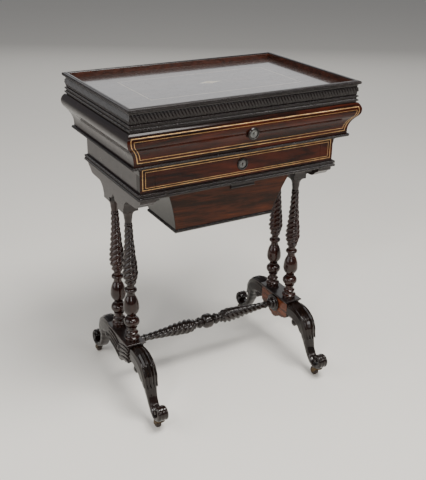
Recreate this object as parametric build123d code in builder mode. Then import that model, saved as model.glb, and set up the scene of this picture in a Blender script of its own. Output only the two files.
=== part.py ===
"""Sewing table: a lidded ogee work box over a drawer and a sliding wool bin, on twisted columns.

Millimetres. X runs along the width, -Y is the front, +Z is up, and the floor is Z = 0.
The origin is on the floor under the middle of the table.
Every moulded frame shares one section plane: "outset" is measured outward from the edge
of the lid moulding, so one outset and height pair holds on all four sides.
"""
from build123d import *
import os

os.makedirs("parts", exist_ok=True)

# ---- driving dimensions -------------------------------------------------------------
HALF_X = 274.0           # lid moulding, half of its length
HALF_Y = 181.0           # lid moulding, half of its depth
TOP_Z = 745.0            # top of the lid's gallery
PANEL_TOP = 732.0        # show face of the lid panel
PANEL_THICK = 12.0
LID_BOTTOM = 697.4       # underside of the lid, closed
OGEE_TOP = 697.0
OGEE_BOTTOM = 626.0
OGEE_INNER = -34.0       # inner face of the ogee boards, as an outset
CASE_OUT = -36.5         # outer face of the drawer case, as an outset
CASE_BOARD = 15.0
FRONT_BOARD = 16.0       # thickness of the stiles and the front rail
CASE_BASE = 545.4        # underside of the case sides
DRAWER_FLOOR = 562.0     # bottom edge of the drawer front and the stiles
DRAWER_HEAD = 616.0      # underside of the front rail
STILE_IN = 204.0         # inner edge of the stiles
GAP = 0.5                # running gap round the drawer front
COLUMN_X = 220.0         # centre plane of each end of the stand
COLUMN_Y = 38.0
COLUMN_HEAD = 487.0
PLINTH_TOP = 160.0
PLINTH_THICK = 8.0
STRETCHER_Z = 129.0
RAIL_WIDTH = 38.0        # thickness of the end rails
RAIL_END = 58.0          # where the end rails meet the legs
LEG_FOOT = 28.0          # height of the flat under each foot
CASTER_Y = 180.0         # swivel axis of the casters
CASTER_TRAIL = 13.0
WHEEL_R = 11.0
BIN_TOP = 541.5
BIN_BOTTOM = 435.0
BIN_WALL = 8.0
BIN_Y = -8.0             # middle of the bin in depth
LINE_DEPTH = 0.8         # thickness of the brass stringing
BOLT_TRAVEL = 5.0        # rise of the drawer's lock bolt
DRAWER_FRONT_THICK = 18.0
DRAWER_HALF = 201.5      # outer face of the drawer's sides
DRAWER_BASE = 564.0      # lower edge of the drawer's sides
RUN_CLEAR = 0.3          # clearance under what slides

CASE_X = HALF_X + CASE_OUT
CASE_Y = HALF_Y + CASE_OUT
CASE_IN_X = CASE_X - CASE_BOARD
FRONT_IN_Y = -CASE_Y + FRONT_BOARD
BACK_IN_Y = CASE_Y - 12.0
FRONT_BACK_Y = -CASE_Y + DRAWER_FRONT_THICK     # inner face of the drawer front

SIDES = {"front": (0, -1), "rear": (0, 1), "left": (-1, 0), "right": (1, 0)}


def write(part, name):
    """Label one finished sub-part and write it; a list stays a group of separate solids."""
    if isinstance(part, list):
        part = Compound(children=part)
    part.label = name
    export_step(part, f"parts/{name}.step")


def board(x0, x1, y0, y1, z0, z1, mode=Mode.ADD):
    """Add a plain board to the open part, between two corners."""
    with Locations(((x0 + x1) / 2, (y0 + y1) / 2, (z0 + z1) / 2)):
        Box(x1 - x0, y1 - y0, z1 - z0, mode=mode)


def plank(*corners):
    """One plain board as a piece of its own, between two corners."""
    with BuildPart() as piece:
        board(*corners)
    return piece.part


def closed(points):
    """Draw a closed straight-sided outline."""
    Polyline(*points, close=True)


def section_plane(side):
    """Plane across one side's moulding: x is the outset, y is the height."""
    nx, ny = SIDES[side]
    return Plane(origin=(nx * HALF_X, ny * HALF_Y, 0), x_dir=(nx, ny, 0), z_dir=(ny, -nx, 0))


def mitred_length(side, outline):
    """One side of a moulded frame, cut at 45 degrees at both corners."""
    nx, ny = SIDES[side]
    half_run = HALF_Y if nx else HALF_X
    with BuildPart() as length:
        with BuildSketch(section_plane(side)):
            with BuildLine():
                outline()
            make_face()
        extrude(amount=half_run + 20, both=True)
        for end in (-1, 1):
            tx, ty = -ny * end, nx * end
            corner = ((nx + tx) * HALF_X, (ny + ty) * HALF_Y, 0)
            mitre = Plane(origin=corner, z_dir=(tx - nx, ty - ny, 0))
            split(bisect_by=mitre, keep=Keep.BOTTOM)
    return length.part


# ---- sections, as (outset, height) ---------------------------------------------------
def lid_outline():
    """Gallery moulding of the lid, with the rabbet that holds the panel."""
    ledge = PANEL_TOP - PANEL_THICK
    lower = Polyline((-9, TOP_Z), (-12, TOP_Z - 3), (-12, ledge), (-24, ledge), (-24, LID_BOTTOM),
                     (-4, LID_BOTTOM), (-4, 712), (-5, 713), (-5, 731), (-4, 733))
    cove = ThreePointArc(lower @ 1, (-3.2, 736), (-0.8, 738.6))
    bead = ThreePointArc(cove @ 1, (0, 741.6), (-3, TOP_Z))
    Line(bead @ 1, (-9, TOP_Z))


def ogee_outline(inset=0.0):
    """Ogee board: a bold bulge above a hollow, flat inside."""
    bulge = ThreePointArc((-3 - inset, OGEE_TOP), (4.5 - inset, 681), (-2 - inset, 665.7))
    hollow = ThreePointArc(bulge @ 1, (-12.6 - inset, 649.8), (-16 - inset, 631))
    Polyline(hollow @ 1, (-16 - inset, OGEE_BOTTOM), (OGEE_INNER, OGEE_BOTTOM), (OGEE_INNER, OGEE_TOP),
             bulge @ 0)


def ripple_side_outline():
    """Moulding under the ogee at the ends and the rear: a ripple nosing over a cove."""
    nosing = Polyline((CASE_OUT, OGEE_BOTTOM), (-15, OGEE_BOTTOM), (-12, 624), (-14, 619.8), (-31, 613.6))
    cove = ThreePointArc(nosing @ 1, (-34.4, 610.4), (-35.6, 605))
    Polyline(cove @ 1, (CASE_OUT, 599.5), nosing @ 0)


def ripple_front_outline():
    """The same nosing at the front, on the rail over the drawer."""
    closed([(CASE_OUT - FRONT_BOARD, OGEE_BOTTOM), (-15, OGEE_BOTTOM), (-12, 624), (-14, 619.8),
            (-20, 618), (-28, DRAWER_HEAD), (CASE_OUT - FRONT_BOARD, DRAWER_HEAD)])


def base_side_outline():
    """Base moulding of the case at the ends and the rear."""
    closed([(CASE_OUT, DRAWER_FLOOR), (-33, 557.5), (-30.6, 551), (-32, 546.5), (-34.5, CASE_BASE),
            (CASE_OUT, CASE_BASE)])


def base_front_outline():
    """Base moulding at the front, with the rail behind it."""
    closed([(CASE_OUT - FRONT_BOARD, DRAWER_FLOOR), (CASE_OUT, DRAWER_FLOOR), (-33, 557.5), (-30.6, 551),
            (-32, 546.5), (-34.5, CASE_BASE), (CASE_OUT - FRONT_BOARD, CASE_BASE)])


def mirror_frame_outline():
    """Flat frame under the lid panel, rabbeted for the mirror."""
    closed([(-24.5, 711.5), (-24.5, 719.8), (-64, 719.8), (-64, 715), (-69, 715), (-69, 711.5)])


# ---- brass stringing let into the fronts ---------------------------------------------
STRING_OUTER = (7.0, 1.5)      # distance from the corner along the front, width of the line
STRING_INNER = (13.5, 1.0)


def ogee_line(edge, width):
    """One line of stringing round the ogee front: it follows the bulge and the mitres."""
    with BuildPart() as line:
        with BuildSketch(section_plane("front")):
            with BuildLine():
                ogee_outline()
            make_face()
            with BuildLine():
                ogee_outline(LINE_DEPTH)
            make_face(mode=Mode.SUBTRACT)
        extrude(amount=HALF_X + 20, both=True)
        for inset, mode in ((edge, Mode.INTERSECT), (edge + width, Mode.SUBTRACT)):
            low = OGEE_BOTTOM - 0.4 + inset
            high = OGEE_TOP - inset
            half_front, half_back = HALF_X + 10 - inset, HALF_X - 30 - inset
            with BuildSketch(Plane.XY.offset(low)):
                with BuildLine():
                    closed([(-half_front, -HALF_Y - 10), (half_front, -HALF_Y - 10),
                            (half_back, -HALF_Y + 30), (-half_back, -HALF_Y + 30)])
                make_face()
            extrude(amount=high - low, mode=mode)
    return line.part


def flat_line(half_x, z0, z1, width):
    """One line of stringing round the drawer front and the stiles."""
    with BuildPart() as line:
        board(-half_x, half_x, -CASE_Y, -CASE_Y + LINE_DEPTH, z0, z1)
        board(-half_x + width, half_x - width, -CASE_Y, -CASE_Y + LINE_DEPTH,
              z0 + width, z1 - width, mode=Mode.SUBTRACT)
    return line.part


OGEE_LINES = [ogee_line(*STRING_OUTER), ogee_line(*STRING_INNER)]
FLAT_LINES = [flat_line(CASE_X - 5.8, DRAWER_FLOOR + 4.5, DRAWER_HEAD - 5.5, 1.5),
              flat_line(CASE_X - 12.3, DRAWER_FLOOR + 9, DRAWER_HEAD - 11, 1.0)]

# ---- hinges --------------------------------------------------------------------------
HINGE_Y = HALF_Y + 0.5
HINGE_Z = (OGEE_TOP + LID_BOTTOM) / 2
HINGE_X = (-150.0, 150.0)
HINGE_LENGTH = 60.0
LEAF_DEPTH = 20.0
LEAF_THICK = 1.8
KNUCKLE_R = 3.0
PIN_R = 1.25
KNUCKLE_SPLIT = 10.0      # half length of the middle knuckle


def along_x(x, y, z, radius, length, mode=Mode.ADD):
    """Add a round bar that lies along X, by its middle."""
    with Locations(Location((x, y, z), (0, 90, 0))):
        Cylinder(radius, length, mode=mode)


with BuildPart() as lid_hinge_leaves:
    for x in HINGE_X:
        half = HINGE_LENGTH / 2
        board(x - half, x + half, HINGE_Y - 3.7 - LEAF_DEPTH, HINGE_Y - 3.7, LID_BOTTOM, LID_BOTTOM + LEAF_THICK)
        board(x - KNUCKLE_SPLIT, x + KNUCKLE_SPLIT, HINGE_Y - 3.7, HINGE_Y, LID_BOTTOM, LID_BOTTOM + LEAF_THICK)
        along_x(x, HINGE_Y, HINGE_Z, KNUCKLE_R, 2 * KNUCKLE_SPLIT)
        along_x(x, HINGE_Y, HINGE_Z, PIN_R + 0.05, 2 * KNUCKLE_SPLIT, mode=Mode.SUBTRACT)

with BuildPart() as case_hinge_leaves:
    for x in HINGE_X:
        half = HINGE_LENGTH / 2
        board(x - half, x + half, HINGE_Y - 3.7 - LEAF_DEPTH, HINGE_Y - 3.7, OGEE_TOP - LEAF_THICK, OGEE_TOP)
        along_x(x, HINGE_Y, HINGE_Z, PIN_R, HINGE_LENGTH)
        for end in (-1, 1):
            middle = x + end * (KNUCKLE_SPLIT + 0.3 + half) / 2
            length = half - KNUCKLE_SPLIT - 0.3
            board(middle - length / 2, middle + length / 2, HINGE_Y - 3.7, HINGE_Y - 1,
                  OGEE_TOP - LEAF_THICK, OGEE_TOP)
            along_x(middle, HINGE_Y, HINGE_Z, KNUCKLE_R, length)

write(lid_hinge_leaves.part, "lid_hinge_leaves")
write(case_hinge_leaves.part, "case_hinge_leaves")

# ---- lid -----------------------------------------------------------------------------
LOCK_Y = (-172.0, -156.0)       # the lid lock is mortised into the top of the ogee front
PLATE_THICK = 1.6

with BuildPart() as lid_moulding_rear:
    add(mitred_length("rear", lid_outline))
    for x in HINGE_X:
        half = HINGE_LENGTH / 2
        board(x - half, x + half, HINGE_Y - 3.7 - LEAF_DEPTH, HINGE_Y - 3.7, LID_BOTTOM,
              LID_BOTTOM + LEAF_THICK, mode=Mode.SUBTRACT)
        along_x(x, HINGE_Y, HINGE_Z, KNUCKLE_R + 0.4, HINGE_LENGTH + 1, mode=Mode.SUBTRACT)
with BuildPart() as lid_moulding_front:
    add(mitred_length("front", lid_outline))
    board(-26, 26, LOCK_Y[0], LOCK_Y[1], LID_BOTTOM, LID_BOTTOM + PLATE_THICK, mode=Mode.SUBTRACT)
lid_moulding_ends = [mitred_length(side, lid_outline) for side in ("left", "right")]
write([lid_moulding_front.part, lid_moulding_rear.part] + lid_moulding_ends, "lid_moulding")

PANEL_X = HALF_X - 12.1
PANEL_Y = HALF_Y - 12.1
INLAY_X, INLAY_Y = 182.0, 86.0
MOTIF_X, MOTIF_Y = 30.0, 12.0

with BuildPart() as lid_inlay:
    with BuildSketch(Plane.XY.offset(PANEL_TOP - LINE_DEPTH)):
        Rectangle(2 * INLAY_X, 2 * INLAY_Y)
        Rectangle(2 * INLAY_X - 2.4, 2 * INLAY_Y - 2.4, mode=Mode.SUBTRACT)
        with BuildLine():
            for sx, sy in ((-1, 1), (1, 1), (1, -1), (-1, -1)):
                ThreePointArc((sx * MOTIF_X, 0), (sx * MOTIF_X * 0.45, sy * MOTIF_Y * 0.4), (0, sy * MOTIF_Y))
        make_face()
    extrude(amount=LINE_DEPTH)
write(lid_inlay.part, "lid_inlay")

with BuildPart() as lid_panel:
    board(-PANEL_X, PANEL_X, -PANEL_Y, PANEL_Y, PANEL_TOP - PANEL_THICK, PANEL_TOP)
    add(lid_inlay.part, mode=Mode.SUBTRACT)
write(lid_panel.part, "lid_panel")

write([mitred_length(side, mirror_frame_outline) for side in SIDES], "lid_mirror_frame")

with BuildPart() as lid_mirror:
    board(-HALF_X + 64.5, HALF_X - 64.5, -HALF_Y + 64.5, HALF_Y - 64.5, 715.2, 719.2)
write(lid_mirror.part, "lid_mirror")

STAPLE_X = (2.0, 5.0)
with BuildPart() as lid_strike_plate:
    board(-26, 26, LOCK_Y[0], LOCK_Y[1], LID_BOTTOM, LID_BOTTOM + PLATE_THICK)
    board(STAPLE_X[0], STAPLE_X[1], -168.5, -159.5, 679, LID_BOTTOM)
    board(STAPLE_X[0], STAPLE_X[1], -166.7, -161.3, 683.2, 690.8, mode=Mode.SUBTRACT)
write(lid_strike_plate.part, "lid_strike_plate")

# ---- ogee box ------------------------------------------------------------------------
LOCK_FLOOR = 659.0
LID_KEYHOLE_Z = 665.0
with BuildPart() as ogee_front:
    add(mitred_length("front", ogee_outline))
    for line in OGEE_LINES:
        add(line, mode=Mode.SUBTRACT)
    board(-32, 32, LOCK_Y[0], LOCK_Y[1], LOCK_FLOOR, OGEE_TOP, mode=Mode.SUBTRACT)
write(ogee_front.part, "ogee_front")

with BuildPart() as ogee_rear:
    add(mitred_length("rear", ogee_outline))
    for x in HINGE_X:
        half = HINGE_LENGTH / 2
        board(x - half, x + half, HINGE_Y - 3.7 - LEAF_DEPTH, HINGE_Y, OGEE_TOP - LEAF_THICK, OGEE_TOP,
              mode=Mode.SUBTRACT)
        along_x(x, HINGE_Y, HINGE_Z, KNUCKLE_R + 0.4, HINGE_LENGTH + 1, mode=Mode.SUBTRACT)
write(ogee_rear.part, "ogee_rear")
write(mitred_length("left", ogee_outline), "ogee_left")
write(mitred_length("right", ogee_outline), "ogee_right")

with BuildPart() as lid_lock_case:
    board(-32, 32, LOCK_Y[0], LOCK_Y[1], LOCK_FLOOR, OGEE_TOP)
    board(-30.5, 30.5, LOCK_Y[0] + 1.5, LOCK_Y[1] - 1.5, LOCK_FLOOR + 1.5, OGEE_TOP - 1.5, mode=Mode.SUBTRACT)
    board(0.5, 6.5, -169.6, -158.4, OGEE_TOP - 2, OGEE_TOP, mode=Mode.SUBTRACT)
    with Locations(Location((0, LOCK_Y[0], LID_KEYHOLE_Z), (90, 0, 0))):
        Cylinder(2.2, 6, mode=Mode.SUBTRACT)
write(lid_lock_case.part, "lid_lock_case")

with BuildPart() as lid_lock_bolt:
    board(-21, -1, -166.2, -161.8, 684, 690)
write(lid_lock_bolt.part, "lid_lock_bolt")

ESCUTCHEON_R = 13.0
ESCUTCHEON_DEPTH = 12.0         # wood behind the lid's escutcheon, down to the ogee's hollow


def escutcheon(y_face, z):
    """Turned ring with a keyhole plate, standing on a front at y_face."""
    with BuildPart() as ring:
        with BuildSketch(Plane(origin=(0, y_face, z), x_dir=(1, 0, 0), z_dir=(0, -1, 0))):
            Circle(ESCUTCHEON_R)
            Circle(9.0, mode=Mode.SUBTRACT)
        extrude(amount=3.2)
        fillet(ring.edges().group_by(Axis.Y)[0], radius=1.4)
        with BuildSketch(Plane(origin=(0, y_face, z), x_dir=(1, 0, 0), z_dir=(0, -1, 0))):
            Circle(8.9)
            with Locations((0, 1.4)):
                Circle(1.9, mode=Mode.SUBTRACT)
            with Locations((0, -1.5)):
                Rectangle(1.8, 5.5, mode=Mode.SUBTRACT)
        extrude(amount=1.2)
    return ring.part


with BuildPart() as lid_escutcheon:
    add(escutcheon(-HALF_Y - 3.2, LID_KEYHOLE_Z))
    with BuildSketch(Plane(origin=(0, -HALF_Y - 3.2, LID_KEYHOLE_Z), x_dir=(1, 0, 0), z_dir=(0, 1, 0))):
        Circle(ESCUTCHEON_R)
        Circle(2.6, mode=Mode.SUBTRACT)
    extrude(amount=ESCUTCHEON_DEPTH)
    with BuildSketch(section_plane("front")):
        with BuildLine():
            ogee_outline()
        make_face()
    extrude(amount=40, both=True, mode=Mode.SUBTRACT)
write(lid_escutcheon.part, "lid_escutcheon")

with BuildPart() as front_nosing:
    add(mitred_length("front", ripple_front_outline))
    board(-9, 9, -136, -129, DRAWER_HEAD, DRAWER_HEAD + BOLT_TRAVEL + 1, mode=Mode.SUBTRACT)
nosings = [mitred_length(side, ripple_side_outline) for side in ("rear", "left", "right")]
write([front_nosing.part] + nosings, "ogee_ripple_moulding")

# ---- sewing tray, lifted out when the lid is open ------------------------------------
TRAY_X, TRAY_Y = 238.0, 145.0
TRAY_FLOOR, TRAY_TOP = 630.0, 682.0
TRAY_BAYS = (-80.0, 80.0)
sewing_tray = [plank(-TRAY_X, TRAY_X, -TRAY_Y, TRAY_Y, OGEE_BOTTOM + 0.2, TRAY_FLOOR)]
for end in (-1, 1):
    wall = sorted((end * TRAY_Y, end * (TRAY_Y - 6)))
    sewing_tray.append(plank(-TRAY_X, TRAY_X, *wall, TRAY_FLOOR, TRAY_TOP))
    wall = sorted((end * TRAY_X, end * (TRAY_X - 6)))
    sewing_tray.append(plank(*wall, -TRAY_Y + 6, TRAY_Y - 6, TRAY_FLOOR, TRAY_TOP))
for x in TRAY_BAYS:
    sewing_tray.append(plank(x - 2, x + 2, -TRAY_Y + 6, TRAY_Y - 6, TRAY_FLOOR, TRAY_TOP - 2))
for y in (-50.0, 0.0, 50.0):
    sewing_tray.append(plank(-TRAY_X + 6, TRAY_BAYS[0] - 2, y - 2, y + 2, TRAY_FLOOR, TRAY_TOP - 6))
    sewing_tray.append(plank(TRAY_BAYS[1] + 2, TRAY_X - 6, y - 2, y + 2, TRAY_FLOOR, TRAY_TOP - 6))
sewing_tray.append(plank(TRAY_BAYS[0] + 2, TRAY_BAYS[1] - 2, 18, 22, TRAY_FLOOR, TRAY_TOP - 6))
write(sewing_tray, "sewing_tray")

# ---- drawer case ---------------------------------------------------------------------
with BuildPart() as dust_board:
    board(-CASE_IN_X, CASE_IN_X, FRONT_IN_Y, BACK_IN_Y, OGEE_BOTTOM - 8, OGEE_BOTTOM)
write(dust_board.part, "dust_board")

for name, end in (("left", -1), ("right", 1)):
    with BuildPart() as case_side:
        board(*sorted((end * CASE_IN_X, end * CASE_X)), FRONT_IN_Y, CASE_Y, CASE_BASE, OGEE_BOTTOM)
    write(case_side.part, f"case_side_{name}")

with BuildPart() as case_back:
    board(-CASE_IN_X, CASE_IN_X, BACK_IN_Y, CASE_Y, CASE_BASE, OGEE_BOTTOM)
write(case_back.part, "case_back")

with BuildPart() as front_stiles:
    for end in (-1, 1):
        board(*sorted((end * STILE_IN, end * CASE_X)), -CASE_Y, FRONT_IN_Y, DRAWER_FLOOR, DRAWER_HEAD)
    for line in FLAT_LINES:
        add(line, mode=Mode.SUBTRACT)
write(front_stiles.part, "front_stiles")

with BuildPart() as case_stringing:
    for line in FLAT_LINES:
        add(line)
    board(-STILE_IN, STILE_IN, -CASE_Y - 1, FRONT_IN_Y, DRAWER_FLOOR, DRAWER_HEAD, mode=Mode.SUBTRACT)
    for line in OGEE_LINES:
        add(line)
write(case_stringing.part, "case_stringing")

RETURN_X = 201.5                # inner end of the fixed base moulding at the front
with BuildPart() as front_returns:
    add(mitred_length("front", base_front_outline))
    board(-RETURN_X, RETURN_X, -HALF_Y, FRONT_IN_Y, CASE_BASE, DRAWER_FLOOR, mode=Mode.SUBTRACT)
base_lengths = [mitred_length(side, base_side_outline) for side in ("rear", "left", "right")]
write([front_returns.part] + base_lengths, "base_ripple_moulding")

BRACKET_IN = 202.5              # inner face of the brackets under the case
RUNNER_IN = 186.0
GUIDE_IN = DRAWER_HALF + 0.8
RUNNER_TOP = DRAWER_BASE - RUN_CLEAR
RUNNER_FRONT = FRONT_BACK_Y + RUN_CLEAR

runners = []
for end in (-1, 1):
    case_face = end * CASE_IN_X
    runners.append(plank(*sorted((end * RUNNER_IN, case_face)), RUNNER_FRONT, BACK_IN_Y, 556, RUNNER_TOP))
    runners.append(plank(*sorted((end * GUIDE_IN, case_face)), RUNNER_FRONT, BACK_IN_Y, RUNNER_TOP, 600))
    runners.append(plank(*sorted((end * RUNNER_IN, end * BRACKET_IN)), RUNNER_FRONT, BACK_IN_Y, 533,
                         BIN_TOP - RUN_CLEAR))
write(runners, "runners")


# ---- brackets under the case, one each end -------------------------------------------
def bracket_outline():
    """Half of the shaped bracket, as (depth, height)."""
    edge = Polyline((0, CASE_BASE), (CASE_Y, CASE_BASE), (CASE_Y, 541))
    toe = Spline(edge @ 1, (138, 534.5), (127, 525.5), (110, 521.5), tangents=((0, -1), (-1, 0)))
    flat = Line(toe @ 1, (82, 520.5))
    cove = Spline(flat @ 1, (69, 517), (61, 510), (57, 499), tangents=((-1, 0), (0, -1)))
    lobe = Polyline(cove @ 1, (54, 498), (54, COLUMN_HEAD), (22, COLUMN_HEAD), (22, 498), (10, 500))
    notch = ThreePointArc(lobe @ 1, (5, 507), (0, 512))
    Line(notch @ 1, edge @ 0)


for name, end in (("left", -1), ("right", 1)):
    with BuildPart() as bracket:
        with BuildSketch(Plane(origin=(end * BRACKET_IN, 0, 0), x_dir=(0, 1, 0), z_dir=(1, 0, 0))):
            with BuildLine():
                bracket_outline()
            make_face()
            mirror(about=Plane.YZ)
        extrude(amount=end * (CASE_X - BRACKET_IN))
    write(bracket.part, f"bracket_{name}")

# ---- stand ---------------------------------------------------------------------------
TWIST_R = 18.2


def column_outline():
    """Half section of a column, as (radius, height), from its cap down to its foot."""
    cap = Polyline((0, COLUMN_HEAD), (16, COLUMN_HEAD), (16, 484), (12.2, 483))
    bell = Spline(cap @ 1, (9.6, 474), (7.5, 465), tangents=((-0.3, -1), (0, -1)))
    neck = Line(bell @ 1, (7.5, 462))
    ring = ThreePointArc(neck @ 1, (10, 459), (7.5, 456))
    taper = Line(ring @ 1, (8, 446))
    twist = Spline(taper @ 1, (10.2, 410), (14.5, 368), (TWIST_R, 331), (15.4, 312), (9.5, 300))
    low_neck = Line(twist @ 1, (9.5, 292.5))
    collar_top = Line(low_neck @ 1, (13, 292))
    collar = ThreePointArc(collar_top @ 1, (18, 287), (13, 282))
    waist = Line(collar @ 1, (13, 276))
    vase = Spline(waist @ 1, (16.6, 260), (18.5, 246), (14.5, 233), (8, 226))
    step = Line(vase @ 1, (10, 223.5))
    bulb = ThreePointArc(step @ 1, (18, 210), (10.5, 196))
    low_waist = Line(bulb @ 1, (10.5, 192))
    flare = Spline(low_waist @ 1, (12.5, 180), (16, 170), tangents=((0, -1), (0.6, -1)))
    bead = ThreePointArc(flare @ 1, (17, 167.5), (16, 165))
    Polyline(bead @ 1, (16, PLINTH_TOP), (0, PLINTH_TOP), cap @ 0)


CORNERS = {"front_left": (-1, -1), "front_right": (1, -1), "rear_left": (-1, 1), "rear_right": (1, 1)}

for name, (sx, sy) in CORNERS.items():
    foot = (sx * COLUMN_X, sy * COLUMN_Y, 0)
    with BuildPart() as column:
        with BuildSketch(Plane(origin=foot, x_dir=(1, 0, 0), z_dir=(0, -1, 0))):
            with BuildLine():
                column_outline()
            make_face()
        revolve(axis=Axis(foot, (0, 0, 1)))
    write(column.part, f"column_{name}")


def rail_outline():
    """Half of the end rail, as (depth, height), with its scalloped lower edge."""
    top = PLINTH_TOP - PLINTH_THICK
    edge = Polyline((0, top), (RAIL_END, top), (RAIL_END, 112))
    lobe = ThreePointArc(edge @ 1, (49, 105.5), (38, 102))
    step = Line(lobe @ 1, (22, 101))
    drop = ThreePointArc(step @ 1, (17, 99), (14, 95))
    pendant = ThreePointArc(drop @ 1, (9.5, 89.8), (0, 88))
    Line(pendant @ 1, edge @ 0)


def leg_outline():
    """Cabriole leg seen from the end, as (depth, height), from the knee to the scroll foot."""
    knee = Spline((RAIL_END, 150), (84, 153), (112, 145), (131, 124), (140, 96), (142, 72), (151, 53),
                  (161, 49), tangents=((1, 0), (1, 0)))
    scroll = Spline(knee @ 1, (172, 60), (188, 67), (203, 57), (203, 38), (192, LEG_FOOT),
                    tangents=((0.4, 1), (-1, -0.2)))
    sole = Line(scroll @ 1, (163, LEG_FOOT))
    shin = Spline(sole @ 1, (142, 50), (116, 85), (100, 108), tangents=((-1, 1), (-0.6, 1)))
    curl = Spline(shin @ 1, (92, 104), (82, 108), (70, 117), tangents=((-0.6, -0.8), (-0.6, 1)))
    Polyline(curl @ 1, (RAIL_END, 112), knee @ 0)


for name, end in (("left", -1), ("right", 1)):
    middle = end * COLUMN_X
    with BuildPart() as plinth:
        board(middle - 23.5, middle + 23.5, -61.5, 61.5, PLINTH_TOP - PLINTH_THICK, PLINTH_TOP)
        chamfer(plinth.edges().group_by(Axis.Z)[0], length=3.5)
    write(plinth.part, f"plinth_{name}")
    with BuildPart() as end_rail:
        with BuildSketch(Plane(origin=(middle, 0, 0), x_dir=(0, 1, 0), z_dir=(1, 0, 0))):
            with BuildLine():
                rail_outline()
            make_face()
            mirror(about=Plane.YZ)
        extrude(amount=RAIL_WIDTH / 2, both=True)
    write(end_rail.part, f"end_rail_{name}")

PINTLE_R = 3.0
for name, (sx, sy) in CORNERS.items():
    with BuildPart() as leg:
        with BuildSketch(Plane(origin=(sx * COLUMN_X, 0, 0), x_dir=(0, sy, 0), z_dir=(sy, 0, 0))):
            with BuildLine():
                leg_outline()
            make_face()
        extrude(amount=RAIL_WIDTH / 2, both=True)
        with BuildSketch(Plane(origin=(sx * COLUMN_X, 0, 0), x_dir=(1, 0, 0), z_dir=(0, -1, 0))):
            with BuildLine():
                closed([(-19, 160), (19, 160), (19, 112), (13, 70), (13, 50), (14, 0),
                        (-14, 0), (-13, 50), (-13, 70), (-19, 112)])
            make_face()
        extrude(amount=2 * HALF_Y, both=True, mode=Mode.INTERSECT)
        with Locations((sx * COLUMN_X, sy * CASTER_Y, LEG_FOOT + 7)):
            Cylinder(PINTLE_R + 0.1, 14.2, mode=Mode.SUBTRACT)
    write(leg.part, f"leg_{name}")


def stretcher_outline():
    """Half section of the stretcher from its middle to one end, as (distance, radius)."""
    bulb = Spline((0, 18), (8, 16.6), (14.5, 10), tangents=((1, 0), (0.3, -1)))
    groove = Line(bulb @ 1, (17, 10))
    ring = ThreePointArc(groove @ 1, (23, 15.5), (29, 10))
    waist = Line(ring @ 1, (36, 9.5))
    twist = Spline(waist @ 1, (43, 14.5), (58, 18.3), (84, 16), (120, 11.8), (172, 8))
    Polyline(twist @ 1, (COLUMN_X - RAIL_WIDTH / 2, 8), (COLUMN_X - RAIL_WIDTH / 2, 0), (0, 0), bulb @ 0)


STRETCHER_AXIS = Axis((0, 0, STRETCHER_Z), (1, 0, 0))
with BuildPart() as stretcher:
    for end in (-1, 1):
        with BuildSketch(Plane(origin=(0, 0, STRETCHER_Z), x_dir=(end, 0, 0), z_dir=(0, -end, 0))):
            with BuildLine():
                stretcher_outline()
            make_face()
        revolve(axis=STRETCHER_AXIS)
write(stretcher.part, "stretcher")


def rosette_outline():
    """Half section of a rosette, as (distance, radius)."""
    inner = COLUMN_X - RAIL_WIDTH / 2
    rim = Polyline((inner, 8.05), (inner, 22.8), (inner - 5, 22.8))
    dish = Spline(rim @ 1, (inner - 8, 19), (inner - 12, 14), (inner - 15, 12))
    Polyline(dish @ 1, (inner - 17, 11), (inner - 17, 8.05), rim @ 0)


with BuildPart() as stretcher_rosettes:
    for end in (-1, 1):
        with BuildSketch(Plane(origin=(0, 0, STRETCHER_Z), x_dir=(end, 0, 0), z_dir=(0, -end, 0))):
            with BuildLine():
                rosette_outline()
            make_face()
        revolve(axis=STRETCHER_AXIS)
write(stretcher_rosettes.part, "stretcher_rosettes")

# ---- casters -------------------------------------------------------------------------
YOKE_TOP = LEG_FOOT - 2 - RUN_CLEAR
WHEEL_HALF = 5.6
with BuildPart() as caster_plates:
    for sx, sy in CORNERS.values():
        with Locations((sx * COLUMN_X, sy * CASTER_Y, LEG_FOOT - 1)):
            Cylinder(12, 2)
            Cylinder(PINTLE_R + 0.06, 2, mode=Mode.SUBTRACT)
write(caster_plates.part, "caster_plates")

for name, (sx, sy) in CORNERS.items():
    pin_x, pin_y = sx * COLUMN_X, sy * CASTER_Y
    axle_y = pin_y + CASTER_TRAIL
    with BuildPart() as fork:
        with Locations((pin_x, pin_y, YOKE_TOP - 1.2)):
            Cylinder(8.4, 2.4)
        with Locations((pin_x, pin_y, YOKE_TOP + 6)):
            Cylinder(PINTLE_R, 14)
        for cheek in (-1, 1):
            inner = pin_x + cheek * (WHEEL_HALF + 0.6)
            with BuildSketch(Plane(origin=(inner, 0, 0), x_dir=(0, 1, 0), z_dir=(1, 0, 0))):
                with BuildLine():
                    closed([(pin_y - 5, YOKE_TOP), (pin_y + 6, YOKE_TOP), (axle_y + 4, WHEEL_R + 3),
                            (axle_y + 4, WHEEL_R - 3), (axle_y - 4, WHEEL_R - 3)])
                make_face()
            extrude(amount=cheek * 1.8)
        along_x(pin_x, axle_y, WHEEL_R, 2.0, 2 * (WHEEL_HALF + 2.4))
    write(fork.part, f"caster_fork_{name}")
    with BuildPart() as wheel:
        along_x(pin_x, axle_y, WHEEL_R, WHEEL_R, 2 * WHEEL_HALF)
        fillet(wheel.edges().filter_by(GeomType.CIRCLE), radius=2.5)
        along_x(pin_x, axle_y, WHEEL_R, 2.06, 2 * WHEEL_HALF, mode=Mode.SUBTRACT)
    write(wheel.part, f"caster_wheel_{name}")

# ---- drawer --------------------------------------------------------------------------
DRAWER_REAR = 120.0
SIDE_THICK = 10.0
DRAWER_LOCK_Y = (FRONT_BACK_Y - 12, FRONT_BACK_Y)
LOCK_BASE = DRAWER_HEAD - GAP - 32

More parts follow.
